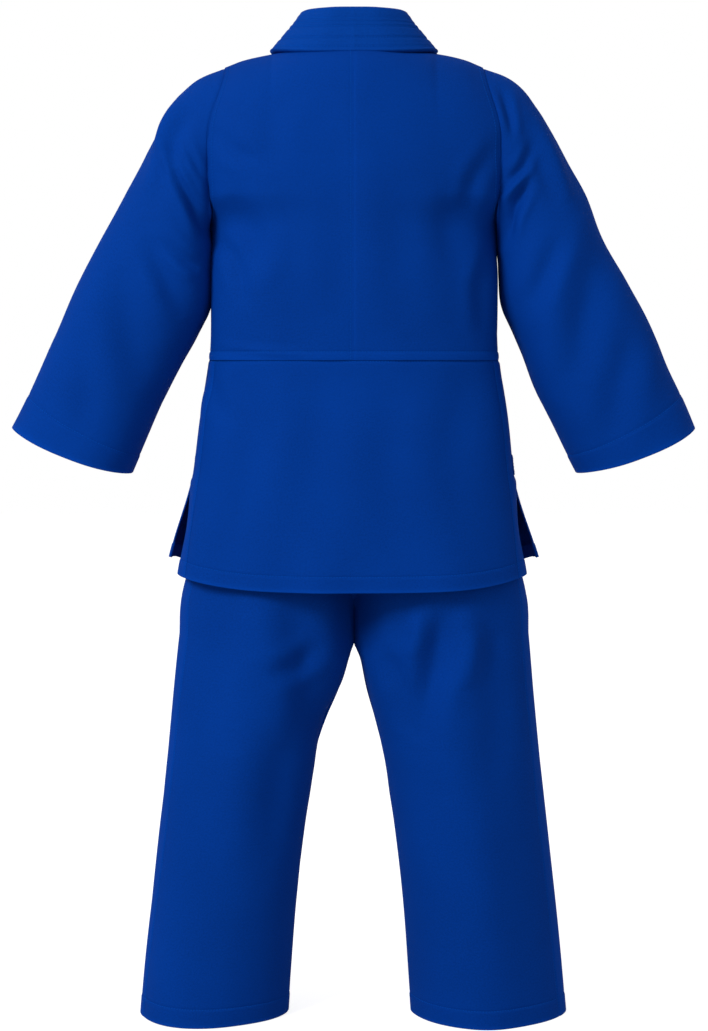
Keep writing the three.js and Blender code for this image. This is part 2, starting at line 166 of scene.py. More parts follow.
def cutSize(points, wraps=False):
    # the widest row, the longest column and the area of the cloth laid flat
    ring = np.concatenate([points, points[:, :1]], axis=1) if wraps else points
    width = np.linalg.norm(np.diff(ring, axis=1), axis=-1).sum(1).max()
    length = np.linalg.norm(np.diff(points, axis=0), axis=-1).sum(0).max()
    area = np.linalg.norm(np.cross(ring[:-1, 1:] - ring[:-1, :-1], ring[1:, :-1] - ring[:-1, :-1]), axis=-1).sum()
    return round(float(width), 3), round(float(length), 3), float(area)


folds = {"deepen": 2.4, "bank": 0.4, "bankAt": 1.9, "bankWidth": 0.95, "turn": 0.012}


def crease(points, path, width, depth, face):
    # a fold along (x, z) places: a bell-shaped valley (or ridge, for a positive depth) with a low bank on both
    # sides, fading out at its ends; face is 1 for the back of the garment and -1 for its front
    path = np.array(path, float)
    steps = np.linspace(0, len(path) - 1, 60)
    line = np.stack([np.interp(steps, np.arange(len(path)), path[:, k]) for k in (0, 1)], -1)
    padded = np.pad(line, ((5, 5), (0, 0)), mode="edge")
    line = np.stack([np.convolve(padded[:, k], np.ones(11) / 11, "valid") for k in (0, 1)], -1)
    gaps = points[..., None, [0, 2]] - line
    nearest = np.argmin((gaps**2).sum(-1), axis=-1)
    gap = np.take_along_axis(gaps, nearest[..., None, None], axis=-2)[..., 0, :]
    off = np.linalg.norm(gap, axis=-1) / width
    fade = np.sin(np.pi * (nearest + 2) / (len(line) + 3)) ** 0.8
    bank = folds["bank"] * bell(off - folds["bankAt"], folds["bankWidth"])
    onFace = ease(-folds["turn"], folds["turn"], (points[..., 1] - middleY) * face)
    return folds["deepen"] * depth * fade * (bell(off, 1) - bank) * onFace


def creases(points, listed, face):
    # all the folds of a list together
    total = np.zeros(points.shape[:-1])
    for path, width, depth in listed:
        total += crease(points, path, width, depth, face)
    return total


def drift(points, seed, size, shortest=0.06, longest=0.22):
    # the faint unevenness of hung cloth: slow slanting waves, much longer up and down than across
    rng = np.random.default_rng(seed)
    total = np.zeros(points.shape[:-1])
    for _ in range(10):
        length = rng.uniform(shortest, longest)
        slant = rng.uniform(-0.28, 0.28)
        start, bend = rng.uniform(0, 2 * np.pi, 2)
        wander = 0.5 * np.sin(points[..., 2] * rng.uniform(4, 13) + bend)
        wave = np.sin(2 * np.pi * (points[..., 0] + slant * points[..., 2]) / length + wander + start)
        total += wave * (length / longest) * np.cos(points[..., 2] * rng.uniform(2, 6) + start)
    return size * total / 2.2


def sewn(points, edges, wraps=False, width=0.0026, depth=0.0010):
    # cloth rolls in towards the seams named in edges: low and high rows, first and last columns
    u, v = runs(points, wraps)
    u, v = u[None, :points.shape[1]], v[:, None]
    distances = {"low": v, "high": v[-1] - v, "first": u, "last": u[:, -1:] - u}
    return -depth * sum(bell(distances[edge], width) for edge in edges) + np.zeros(points.shape[:2])


stitch = {"length": 0.0028, "pitch": 0.0037, "radius": 0.0004, "sides": 6}


def stitchRow(line, normals):
    # thread along a line: each stitch is a grain of two six-sided rings between pointed ends, lying on the cloth
    run = np.concatenate([[0], np.cumsum(np.linalg.norm(np.diff(line, axis=0), axis=1))])
    count = max(2, int(run[-1] / stitch["pitch"]))
    centres = (np.arange(count) + 0.5) * run[-1] / count
    at, ahead, up = [np.stack([np.interp(centres + shift, run, grid[:, k]) for k in range(3)], -1)
                     for shift, grid in ((0, line), (0.0008, line), (0, normals))]
    forward = unitRows(ahead - at)
    side = unitRows(np.cross(up, forward))
    turn = np.arange(stitch["sides"]) * 2 * np.pi / stitch["sides"]
    ring = np.stack([0 * turn, np.cos(turn), np.sin(turn)], -1)
    grain = np.concatenate([[[-0.5, 0, 0]], ring - [0.3, 0, 0], ring + [0.3, 0, 0], [[0.5, 0, 0]]])
    grain = grain * [stitch["length"], stitch["radius"], stitch["radius"]] + [0, 0, stitch["radius"] * 0.5]
    axes = np.stack([forward, side, up], 1)
    verts = at[:, None] + grain @ axes
    i = np.arange(stitch["sides"])
    after = (i + 1) % stitch["sides"]
    start = (np.arange(count) * len(grain))[:, None, None]
    quads = np.stack([1 + i, 1 + after, 7 + after, 7 + i], -1) + start
    heads, tails = np.stack([0 * i, 1 + after, 1 + i], -1), np.stack([0 * i + 13, 7 + i, 7 + after], -1)
    tips = np.concatenate([heads, tails]) + start
    return verts.reshape(-1, 3), quads.reshape(-1, 4), tips.reshape(-1, 3)


def writeMesh(name, verts, quads, tris, slots, uvs, wear, materials):
    # one mesh from whole arrays: faces of four corners, then of three, with slots, weave layout and wear
    mesh = bpy.data.meshes.new(name)
    mesh.vertices.add(len(verts))
    mesh.vertices.foreach_set("co", verts.astype(np.float32).ravel())
    corners = np.concatenate([quads.ravel(), tris.ravel()]).astype(np.int32)
    mesh.loops.add(len(corners))
    mesh.loops.foreach_set("vertex_index", corners)
    sizes = np.concatenate([np.full(len(quads), 4), np.full(len(tris), 3)])
    mesh.polygons.add(len(sizes))
    mesh.polygons.foreach_set("loop_start", (np.cumsum(sizes) - sizes).astype(np.int32))
    mesh.polygons.foreach_set("loop_total", sizes.astype(np.int32))
    mesh.polygons.foreach_set("material_index", slots.astype(np.int32))
    mesh.polygons.foreach_set("use_smooth", np.ones(len(sizes), bool))
    mesh.uv_layers.new(name="weave").uv.foreach_set("vector", uvs.astype(np.float32).ravel())
    mesh.attributes.new("wear", "FLOAT", "POINT").data.foreach_set("value", wear.astype(np.float32))
    mesh.update(calc_edges=True)
    for material in materials:
        mesh.materials.append(material)
    piece = bpy.data.objects.new(name, mesh)
    bpy.context.scene.collection.objects.link(piece)
    return piece


def clothPiece(name, points, slot, thick=None, wraps=False, rows=(), wear=None, inside=None, nodes=()):
    # a closed body of cloth: the outer grid of points, an inner grid one thickness behind it, a wall along every
    # free edge, and the thread of its sewn rows, each given as points and normals
    normal = outward(points, wraps, inside)
    thick = np.broadcast_to(cloth["thick"] if thick is None else thick, points.shape[:2])
    inner = points - normal * thick[..., None]
    rowCount, colCount = points.shape[:2]
    spans = colCount if wraps else colCount - 1
    j, i = [index.ravel() for index in np.mgrid[0:rowCount - 1, 0:spans]]
    after = (i + 1) % colCount
    below, above = j * colCount, (j + 1) * colCount
    corners = np.stack([below + i, below + after, above + after, above + i], -1)
    u, v = runs(points, wraps)
    place = np.stack([np.stack([u[i], v[j]], -1), np.stack([u[i + 1], v[j]], -1),
                      np.stack([u[i + 1], v[j + 1]], -1), np.stack([u[i], v[j + 1]], -1)], 1)
    layer = rowCount * colCount
    edge = np.arange(spans)
    edgeAfter = (edge + 1) % colCount
    top = (rowCount - 1) * colCount
    walls = [np.stack([edgeAfter, edge, edge + layer, edgeAfter + layer], -1),
             np.stack([top + edge, top + edgeAfter, top + edgeAfter + layer, top + edge + layer], -1)]
    if not wraps:
        first = np.arange(rowCount - 1) * colCount
        last = first + colCount - 1
        walls += [np.stack([first, first + colCount, first + colCount + layer, first + layer], -1),
                  np.stack([last + colCount, last, last + layer, last + colCount + layer], -1)]
    walls = np.concatenate(walls)
    flat = np.stack(np.meshgrid(u[:colCount], v), -1).reshape(-1, 2)
    quads = np.concatenate([corners, corners[:, ::-1] + layer, walls])
    uvs = np.concatenate([place, place[:, ::-1], np.concatenate([flat, flat])[walls]])
    midRow, midCol = rowCount // 2, colCount // 2
    middle = points[midRow, midCol]
    turned = np.cross(points[midRow, midCol + 1] - middle, points[midRow + 1, midCol] - middle)
    if turned @ normal[midRow, midCol] < 0:  # faces look outwards
        quads, uvs = quads[:, ::-1], uvs[:, ::-1]
    slots = np.concatenate([np.zeros(len(corners)), np.full(len(corners), 1), np.zeros(len(walls))])
    worn = np.zeros(points.shape[:2]) if wear is None else wear
    verts = [points.reshape(-1, 3), inner.reshape(-1, 3)]
    quadParts, uvParts, tris, slotParts = [quads], [uvs], [], [slots]
    total = 2 * layer
    for line, lineNormals in rows:
        more, sides, tips = stitchRow(line, lineNormals)
        verts.append(more)
        quadParts.append(sides + total)
        tris.append(tips + total)
        uvParts.append(np.zeros((len(sides), 4, 2)))
        slotParts.append(np.full(len(sides), 2))
        total += len(more)
    tris = np.concatenate(tris) if tris else np.zeros((0, 3), int)
    uvs = np.concatenate([np.concatenate(uvParts).reshape(-1, 2), np.zeros((tris.size, 2))])
    slots = np.concatenate(slotParts + [np.full(len(tris), 2)])
    wearAll = np.concatenate([worn.ravel(), worn.ravel() * 0, np.zeros(total - 2 * layer)])
    verts = np.concatenate(verts)
    finish = finishes[slot]
    piece = writeMesh(name, verts, np.concatenate(quadParts), tris, slots, uvs, wearAll, [finish, finish, thread])
    if nodes:
        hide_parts(*nodes)
    return piece


def declareSheet(piece, points, wraps=False):
    # says what size the cloth of a piece was cut to
    width, length, area = cutSize(points, wraps)
    print(f"{piece.name}: cut {width * 1000:.0f} by {length * 1000:.0f} mm, {area:.3f} square metres")


def at(values, value):
    # the place of the nearest value in a list
    return int(np.argmin(np.abs(np.asarray(values) - value)))

def rowsAt(points, normal, *picks):
    # stitch rows along rows or columns of a grid: the points and the normals of each pick
    return [(points[pick], normal[pick]) for pick in picks]

def ringAt(points, normal, row):
    # a stitch row all the way round a tube, closed on its first point
    return np.concatenate([points[row], points[row, :1]]), np.concatenate([normal[row], normal[row, :1]])

def mirror(points, side):
    # the same points on the wearer's left (1) or right (-1)
    return points * [side, 1, 1]

def sideWord(side):
    return "left" if side > 0 else "right"


class Value:
    # one number socket of a shader, so that expressions on it add their Math nodes
    def __init__(self, finish, socket):
        self.finish, self.socket = finish, socket

    def calc(self, operation, first, second):
        return self.finish.make("ShaderNodeMath", {"operation": operation}, {0: first, 1: second})

    def __add__(self, other): return self.calc("ADD", self, other)
    def __radd__(self, other): return self.calc("ADD", other, self)
    def __sub__(self, other): return self.calc("SUBTRACT", self, other)
    def __rsub__(self, other): return self.calc("SUBTRACT", other, self)
    def __mul__(self, other): return self.calc("MULTIPLY", self, other)
    def __rmul__(self, other): return self.calc("MULTIPLY", other, self)


class Finish:
    def __init__(self, name):
        self.material = bpy.data.materials.new(name)
        self.material.use_nodes = True
        self.tree = self.material.node_tree
        self.tree.nodes.clear()

    def make(self, kind, settings=None, sockets=None, output=0):
        # adds a node: its settings first, then the value or the link of each socket
        node = self.tree.nodes.new(kind)
        for name, value in (settings or {}).items():
            setattr(node, name, value)
        for name, value in (sockets or {}).items():
            if isinstance(value, Value):
                self.tree.links.new(value.socket, node.inputs[name])
            else:
                node.inputs[name].default_value = value
        return Value(self, node.outputs[output]) if node.outputs else node

    def blend(self, share, first, second):
        return self.make("ShaderNodeMix", {"data_type": "RGBA"}, {0: share, 6: first, 7: second}, 2)

    def noise(self, vector, scale, detail=2.0, roughness=0.5, distortion=0.0):
        return self.make("ShaderNodeTexNoise", {}, {"Vector": vector, "Scale": scale, "Detail": detail,
                                                    "Roughness": roughness, "Distortion": distortion})


def shaded(rgb, share):
    # a colour times a share, with its alpha
    return tuple(channel * share for channel in rgb) + (1.0,)


dye = {"drill": (0.0, 0.0345, 0.252), "facing": (0.0, 0.033, 0.240), "band": (0.0004, 0.039, 0.262),
       "thread": (0.0006, 0.064, 0.385), "core": (0.62, 0.60, 0.55), "elastic": (0.72, 0.72, 0.70)}


def clothFinish(name, rgb, onUv=True, twill=0.00095, ribs=0.00005, rumple=0.00042, sheen=0.10):
    # cotton drill: fine slanting ribs, fibre grain, slow changes of shade, paler where it wears, softly rumpled
    finish = Finish(name)
    place = finish.make("ShaderNodeTexCoord", output="Object")
    flat = finish.make("ShaderNodeUVMap", {"uv_map": "weave"}) if onUv else place
    parts = {axis: finish.make("ShaderNodeSeparateXYZ", {}, {0: flat}, axis) for axis in (0, 1, 2)}
    across = parts[0] if onUv else parts[0] + parts[1] * 0.7
    along = parts[1] if onUv else parts[2]
    slant = (across + along * 0.8) * (2 * np.pi / twill)
    rib = finish.make("ShaderNodeMath", {"operation": "SINE"}, {0: slant})
    grain = finish.noise(flat, 1300.0, 2.0, 0.6)
    fleck = finish.noise(flat, 420.0, 3.0, 0.62)
    cloud = finish.noise(place, 7.0, 3.0, 0.5)
    soft = finish.noise(place, 26.0, 3.0, 0.5, 0.6)
    fine = finish.noise(place, 85.0, 2.0, 0.5, 0.3)
    worn = finish.make("ShaderNodeAttribute", {"attribute_name": "wear"}, output="Fac")
    shade = 0.5 + (cloud - 0.5) * 0.55 + (fleck - 0.5) * 1.35 + (grain - 0.5) * 0.8 + rib * 0.10 + worn * 0.8
    colour = finish.blend(shade, shaded(rgb, 0.76), shaded(rgb, 1.24))
    height = rib * ribs + (grain - 0.5) * 0.00008 + (soft - 0.5) * rumple * 2 + (fine - 0.5) * rumple * 0.35
    bump = finish.make("ShaderNodeBump", {}, {"Strength": 0.9, "Distance": 1.0, "Height": height})
    finish.make("ShaderNodeOutputMaterial", {}, {"Surface": finish.make("ShaderNodeBsdfPrincipled", {}, {
        "Base Color": colour, "Roughness": 0.78 + (fleck - 0.5) * 0.2, "Normal": bump, "Specular IOR Level": 0.03,
        "Sheen Weight": sheen, "Sheen Roughness": 0.45, "Sheen Tint": (0.0, rgb[1] * 3, rgb[2] * 2.4, 1.0)})})
    return finish.material


finishes = {
    "cotton_drill": clothFinish("cottonDrill", dye["drill"]),
    "cotton_facing": clothFinish("cottonFacing", dye["facing"]),
    "quilted_band": clothFinish("quiltedBand", dye["band"], rumple=0.0002),
    "band_core": clothFinish("bandCore", dye["core"], onUv=False, ribs=0.0, rumple=0.0003, sheen=0.0),
    "elastic_web": clothFinish("elasticWeb", dye["elastic"], onUv=False, twill=0.0016, ribs=0.00012, sheen=0.0),
}
keptFacing = clothFinish("keptFacing", dye["facing"], onUv=False)
thread = clothFinish("sewingThread", dye["thread"], onUv=False, twill=0.0005, ribs=0.00003, rumple=0.0, sheen=0.15)
print("finishes made")


# the jacket's body: half widths and depths in metres, by height
jacketSide = through((0.568, 0.223), (0.640, 0.216), (0.713, 0.206), (0.780, 0.1985), (0.860, 0.187), (0.900, 0.1845),
                     (1.019, 0.184), (1.121, 0.184))
jacketBack = through((0.568, 0.118), (0.713, 0.112), (0.860, 0.101), (0.980, 0.108), (1.090, 0.114), (1.121, 0.114))
jacketFront = through((0.568, 0.117), (0.713, 0.112), (0.860, 0.104), (0.980, 0.112), (1.070, 0.117), (1.121, 0.114))
lapelOuter = through((0.568, -0.058), (0.713, -0.054), (0.860, -0.045), (0.960, 0.005), (1.060, 0.053),
                     (1.150, 0.084), (1.225, 0.098), (1.252, 0.103))
jacket = {"armDepth": 0.070, "neckDepth": 0.062, "lapelWidth": 0.053, "wrapStep": 0.009, "flare": 0.017,
          "sideHemRise": 0.016, "frontHemRise": 0.026, "seamLean": 0.019, "grooveDepth": 0.0085,
          "underLapel": 0.004}


def sideAt(level):
    # half width at a level, the same from the middle of the armhole upwards
    return jacketSide(np.minimum(level, armMidZ))


def angleOf(x, level):
    # the angle round the body at which its section is x wide
    return np.arcsin(np.clip(x / sideAt(level), -1, 1))


def topLine(x, isBack):
    # the neck seam in the middle, a flattened half oval in plan, and the shoulder seam falling away outside it
    across = np.abs(x) / neckHalf
    beyond = np.clip((np.abs(x) - neckHalf) / (shoulderHalf - neckHalf), 0, 1)
    y = jacket["neckDepth"] * np.clip(1 - across**2.2, 0, 1) ** 0.75 if isBack else 0 * across
    z = np.where(across < 1, mix(neckBackZ, ridgeZ, across**2),
                 ridgeZ - (ridgeZ - shoulderZ) * (0.7 * beyond + 0.3 * beyond**2))
    return y, z


def jacketPoint(angle, level, isBack, out=0.0):
    # a boxy oval section at each height; above the middle of the armhole it closes to the top line along a
    # quarter of an ellipse, and the level runs along that arc
    height = np.minimum(level, armMidZ)
    x = (sideAt(level) + out) * np.sin(angle)
    depth = (jacketBack if isBack else jacketFront)(height) + out
    drop = np.clip((armMidZ - height) / (armMidZ - armpitZ), 0, 1)
    opened = np.sqrt(1 - drop**2) * ease(armpitZ, armpitZ + 0.05, height)
    edge = jacket["armDepth"] * opened + out * (height > armpitZ)
    crown = mix(0.58, 0.66, ease(ventZ, waistZ, height)) + 0.95 * ease(0.955, armMidZ, height)
    y = edge + (depth - edge) * np.clip(np.cos(angle), 0, 1) ** crown
    topY, topZ = topLine(x, isBack)
    climb = np.clip((level - armMidZ) / (ridgeZ - armMidZ), 0, 1) * rightAngle
    z = np.where(level > armMidZ, armMidZ + (topZ + out - armMidZ) * np.sin(climb), level)
    y = np.where(level > armMidZ, topY + (y - topY) * np.cos(climb), y) - seamLap
    return np.stack(np.broadcast_arrays(x, middleY + (y if isBack else -y), z), -1)


def leanIn(points):
    # the sleeve seam leans in towards the neck at the top of the shoulder
    x, z = np.abs(points[..., 0]), points[..., 2]
    near = np.exp(-((x - shoulderHalf) / 0.034) ** 2) * ease(1.140, shoulderZ, z)
    moved = points.copy()
    moved[..., 0] -= np.sign(points[..., 0]) * jacket["seamLean"] * near
    moved[..., 2] += 0.0045 * near
    return moved


def dipAtArm(points):
    # the cloth dips straight in towards the wearer at the sleeve seam, from the armpit up to the shoulder blade
    x, z = np.abs(points[..., 0]), points[..., 2]
    tall = ease(0.975, 1.030, z) * (1 - ease(1.075, 1.165, z))
    away = np.abs(x - shoulderHalf)
    depth = jacket["grooveDepth"] * tall * (0.55 * bell(away, 0.016) + 0.45 * np.exp(-away / 0.004))
    offMiddle = points[..., 1] - middleY
    moved = points.copy()
    moved[..., 1] -= np.clip(offMiddle / 0.03, -1, 1) * depth
    return moved


def panelGrid(fromX, toX, levels, shares, isBack, proud=None):
    # columns run at equal shares of the angle between two sideways limits, rows at each level
    level = levels[:, None]
    start, end = angleOf(fromX(level), level), angleOf(toX(level), level)
    angle = start + (end - start) * shares[None, :]
    stand = 0.0 if proud is None else proud(sideAt(level) * np.sin(angle), level)
    return jacketPoint(angle, level + 0 * angle, isBack, stand), angle, level + 0 * angle


def swell(points, amount, wraps=False):
    # each point moved out along its normal
    return points + outward(points, wraps) * amount[..., None]


def lapelIn(level):
    # the lapel's free edge
    return lapelOuter(level) - jacket["lapelWidth"]


def besideLapel(level):
    # the front starts a little under the lapel
    return lapelOuter(level) - jacket["underLapel"]


def wrapProud(x, level):
    # the left front stands off the right one where they overlap, and joins the side flush
    return jacket["wrapStep"] * (1 - ease(0.114, 0.146, x)) * (1 - ease(1.065, 1.130, level))


# the folds of the back: (x, z) places along each, its width and its depth
backCreases = [
    ([(0.158, 1.072), (0.124, 1.010), (0.146, 0.950)], 0.017, -0.0022),
    ([(-0.150, 1.090), (-0.118, 1.030), (-0.131, 0.960)], 0.018, -0.0014),
    ([(0.176, 1.150), (0.150, 1.120), (0.118, 1.105)], 0.010, -0.0013),
    ([(-0.178, 1.130), (-0.150, 1.085), (-0.142, 1.040)], 0.010, -0.0016),
    ([(0.172, 1.020), (0.150, 0.985), (0.138, 0.930)], 0.009, -0.0016),
    ([(-0.176, 1.010), (-0.160, 0.950), (-0.165, 0.890)], 0.010, -0.0016),
    ([(0.020, 1.150), (0.012, 1.000), (0.026, 0.900)], 0.022, -0.0010),
    ([(-0.060, 1.120), (-0.052, 1.000), (-0.066, 0.890)], 0.024, -0.0009),
    ([(0.080, 1.205), (0.100, 1.150), (0.104, 1.090)], 0.016, -0.0009),
    ([(0.175, 0.880), (0.120, 0.872), (0.060, 0.868)], 0.005, 0.0006),
]
back = {"topstitch": 0.0098, "armStitch": 0.0065, "seamStitch": 0.0045, "seamRow": 0.0028, "strip": 0.0095,
        "halfWidth": 0.187, "seed": 11, "skirtSeed": 23}


def angleMarks(distances, radius=back["halfWidth"]):
    # angles, from either side seam, of lines that far in from it sideways
    found = [np.arcsin(1 - d / radius) for d in distances]
    return [*found, *[-angle for angle in found]]


def waistFold(level):
    # above the waist seam the cloth lies doubled up to a stitch row: how far it stands out, and the dip at the row
    row = level - waistZ - back["topstitch"]
    return cloth["felled"] * (1 - ease(-0.001, 0.001, row)), -cloth["rowDip"] * bell(row, cloth["rowWidth"])

def waistWear(felled, level):
    # paler on the doubled cloth and along the waist seam itself
    return 0.25 * felled / cloth["felled"] + 0.3 * bell(level - waistZ, 0.003)

def jacketBackPanel():
    # the whole back above the waist seam, from one side seam to the other and up to the shoulders
    marks = [0.0, back["seamStitch"] / back["halfWidth"], *angleMarks([back["armStitch"]])]
    angles = lines(-rightAngle, rightAngle, cloth["step"] / 0.15, marks, 1 / 0.17)
    levels = lines(waistZ - 0.0008, ridgeZ, cloth["step"], [waistZ + back["topstitch"]])
    angle, level = np.meshgrid(angles, levels)
    points = jacketPoint(angle, level, True)
    felled, rowsDip = waistFold(level)
    seamDip = -0.00035 * bell(points[..., 0], 0.0014) - 0.0002 * bell(points[..., 0] - back["seamStitch"], 0.0012)
    amount = (felled + rowsDip + seamDip + sewn(points, ("low", "first", "last"))
              + creases(points, backCreases, 1) + drift(points, back["seed"], 0.0018))
    points = leanIn(dipAtArm(swell(points, amount)))
    normal = outward(points)
    arm = at(angles, angleMarks([back["armStitch"]])[0])
    up = slice(at(levels, armpitZ + 0.02), at(levels, ridgeZ - 0.012))
    rows = rowsAt(points, normal, at(levels, waistZ + back["topstitch"]), np.s_[:, at(angles, marks[1])],
                  np.s_[up, arm], np.s_[up, len(angles) - 1 - arm])
    wear = waistWear(felled, level) + 0.175 * bell(points[..., 0], 0.003)
    piece = clothPiece("jacketBack", points, "cotton_drill", rows=rows, wear=wear,
                       nodes=("back_panel_left", "back_panel_right"))
    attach(piece, "jacket")
    declareSheet(piece, points)


skirtCreases = [
    ([(0.150, 0.850), (0.128, 0.770), (0.146, 0.660), (0.150, 0.590)], 0.024, -0.0018),
    ([(-0.140, 0.850), (-0.120, 0.740), (-0.138, 0.600)], 0.026, -0.0018),
    ([(0.040, 0.850), (0.052, 0.720), (0.044, 0.590)], 0.028, -0.0014),
    ([(-0.050, 0.840), (-0.040, 0.720), (-0.052, 0.590)], 0.028, -0.0012),
    ([(0.185, 0.850), (0.176, 0.810), (0.160, 0.780)], 0.010, -0.0012),
]


def hemLift(angle, level, rise):
    # the hem climbs towards the sides, and the rows above share the climb up to the vents
    return rise * np.abs(np.sin(angle)) ** 4 * (1 - ease(jacketHemZ, ventZ, level))


def hemFold(level, edge, depth):
    # turned hem: the cloth is a little proud below its stitch row and dips at the row itself
    row = level - edge - depth
    return cloth["hemProud"] * (1 - ease(-0.001, 0.001, row)) - cloth["rowDip"] * bell(row, cloth["rowWidth"])


def hemThick(level, edge, depth):
    # a turned hem is nearly twice as thick as the cloth above its row
    return mix(cloth["hemThick"], cloth["thick"], ease(edge + depth - 0.0007, edge + depth + 0.0007, level))


def jacketBackSkirt():
    # the back below the waist seam; its tail hangs free between the side vents
    sideIn = angleMarks([back["strip"]], 0.206)
    angles = lines(-rightAngle, rightAngle, cloth["step"] / 0.17, [0.0, *sideIn], 1 / 0.19)
    hem = cloth["backHem"]
    levels = lines(jacketHemZ, waistZ - seamGap, cloth["step"], [jacketHemZ + hem, ventZ])
    angle, level = np.meshgrid(angles, levels)
    points = jacketPoint(angle, level, True)
    points[..., 2] += hemLift(angle, level, jacket["sideHemRise"])
    vent = 1 - ease(ventZ - 0.012, ventZ, level)
    strip = 0.0006 * ease(sideIn[0] - 0.004, sideIn[0] + 0.004, np.abs(angle))
    stripDip = -0.0005 * bell((np.abs(angle) - sideIn[0]) * 0.06, 0.0012)
    toSide = (1 - np.abs(np.sin(angle))) * 0.2
    wave = drift(points, back["skirtSeed"], 0.0026) * (0.5 + 0.9 * (1 - ease(0.60, 0.80, level)))
    amount = (hemFold(level, jacketHemZ, hem) + strip + stripDip + sewn(points, ("high",), depth=0.0024)
              + sewn(points, ("first", "last")) * (1 - vent) + creases(points, skirtCreases, 1) + wave
              + 0.0030 * vent * np.exp(-toSide / 0.006) * np.sin(level * 37))
    points = swell(points, amount)
    normal = outward(points)
    first, row = at(angles, sideIn[1]), at(levels, jacketHemZ + hem)
    last = at(angles, sideIn[0])
    rows = rowsAt(points, normal, row, np.s_[:, first], np.s_[:, last], at(levels, waistZ - back["seamRow"]))
    wear = 0.6 * bell(level - jacketHemZ, 0.004) + 0.4 * strip / 0.0006 + 0.25 * bell(level - waistZ, 0.003)
    thick = hemThick(level, jacketHemZ, hem)
    piece = clothPiece("jacketBackSkirt", points, "cotton_drill", thick, rows=rows, wear=wear,
                       nodes=("skirt_back_upper", "back_tail", "back_tail_hem_facing"))
    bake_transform(piece)
    declareSheet(piece, points)


# the folds of both fronts, panel and skirt
frontCreases = [
    ([(0.175, 1.130), (0.150, 1.090), (0.135, 1.040)], 0.011, -0.0018),
    ([(0.165, 1.020), (0.140, 0.960), (0.150, 0.890)], 0.016, -0.0020),
    ([(0.110, 1.180), (0.122, 1.120), (0.128, 1.050)], 0.015, -0.0012),
    ([(0.120, 0.900), (0.060, 0.930), (0.010, 0.945)], 0.012, -0.0016),
    ([(0.160, 0.880), (0.100, 0.890), (0.030, 0.885)], 0.010, -0.0012),
    ([(0.090, 0.850), (0.100, 0.740), (0.092, 0.610)], 0.026, -0.0022),
    ([(0.150, 0.850), (0.165, 0.740), (0.160, 0.620)], 0.024, -0.0020),
    ([(0.010, 0.850), (0.022, 0.740), (0.014, 0.610)], 0.024, -0.0018),
]
front = {"width": 0.26, "armWidth": 0.11, "skirtWidth": 0.30, "stripAt": 0.965}


def jacketFrontPanel(side):
    # one front above the waist seam, from beside the lapel to the side seam and up to the shoulder
    name, proud, seed = ("Left", wrapProud, 31) if side > 0 else ("Right", None, 32)
    armAt = 1 - back["armStitch"] / front["armWidth"]
    shares = lines(0.0, 1.0, cloth["step"] / front["width"], [armAt], 1 / front["width"])
    levels = lines(waistZ + seamGap, ridgeZ, cloth["step"], [waistZ + back["topstitch"]])
    points, angle, level = panelGrid(besideLapel, sideAt, levels, shares, False, proud)
    felled, rowsDip = waistFold(level)
    amount = (rowsDip + felled + sewn(points, ("low", "high", "last"))
              + creases(points, frontCreases, -1) + drift(points, seed, 0.0018))
    points = mirror(leanIn(dipAtArm(swell(points, amount))), side)
    normal = outward(points)
    row, up = at(levels, waistZ + back["topstitch"]), slice(at(levels, armpitZ + 0.02), at(levels, ridgeZ - 0.012))
    rows = rowsAt(points, normal, row, np.s_[up, at(shares, armAt)])
    nodes = ("front_left_chest", "front_left_side", "front_left_wrap") if side > 0 else ("front_right_panel",)
    piece = clothPiece(f"jacketFront{name}", points, "cotton_drill", rows=rows, nodes=nodes,
                       wear=waistWear(felled, level))
    rideFront(piece, side)
    declareSheet(piece, points)


def rideFront(piece, side):
    # the right front stays with the jacket; the left one is left unattached, its shape baked in place
    if side < 0:
        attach(piece, "jacket")
        return
    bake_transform(piece)


def jacketFrontSkirt(side):
    # one front below the waist seam, free at the side below the vent
    name, proud, seed = ("Left", wrapProud, 41) if side > 0 else ("Right", None, 42)
    stripAt, width = front["stripAt"], front["skirtWidth"]
    shares = lines(0.0, 1.0, cloth["step"] / width, [stripAt], 1 / width)
    levels = lines(jacketHemZ, waistZ - seamGap, cloth["step"], [jacketHemZ + cloth["hem"]])
    points, angle, level = panelGrid(besideLapel, sideAt, levels, shares, False, proud)
    points = flareOut(points, level)
    vent = 1 - ease(ventZ - 0.012, ventZ, level)
    strip = 0.0006 * ease(stripAt - 0.004, stripAt + 0.004, shares)[None, :]
    stripDip = -0.0006 * bell((shares[None, :] - stripAt) * width, 0.0012)
    wave = drift(points, seed, 0.0030) * (0.5 + 0.8 * (1 - ease(0.60, 0.80, level)))
    amount = (hemFold(level, jacketHemZ, cloth["hem"]) + strip + stripDip + wave
              + sewn(points, ("high",)) + sewn(points, ("last",)) * (1 - vent) + creases(points, frontCreases, -1))
    points = mirror(swell(points, amount), side)
    normal = outward(points)
    rows = rowsAt(points, normal, at(levels, jacketHemZ + cloth["hem"]), np.s_[:, at(shares, stripAt)])
    nodes = ("skirt_front_left_side", "skirt_front_left_wrap") if side > 0 else ("skirt_front_right",)
    piece = clothPiece(f"jacketFrontSkirt{name}", points, "cotton_drill", hemThick(level, jacketHemZ, cloth["hem"]),
                       rows=rows, nodes=nodes, wear=0.6 * bell(level - jacketHemZ, 0.004) + 0.4 * strip / 0.0006)
    rideFront(piece, side)
    declareSheet(piece, points)


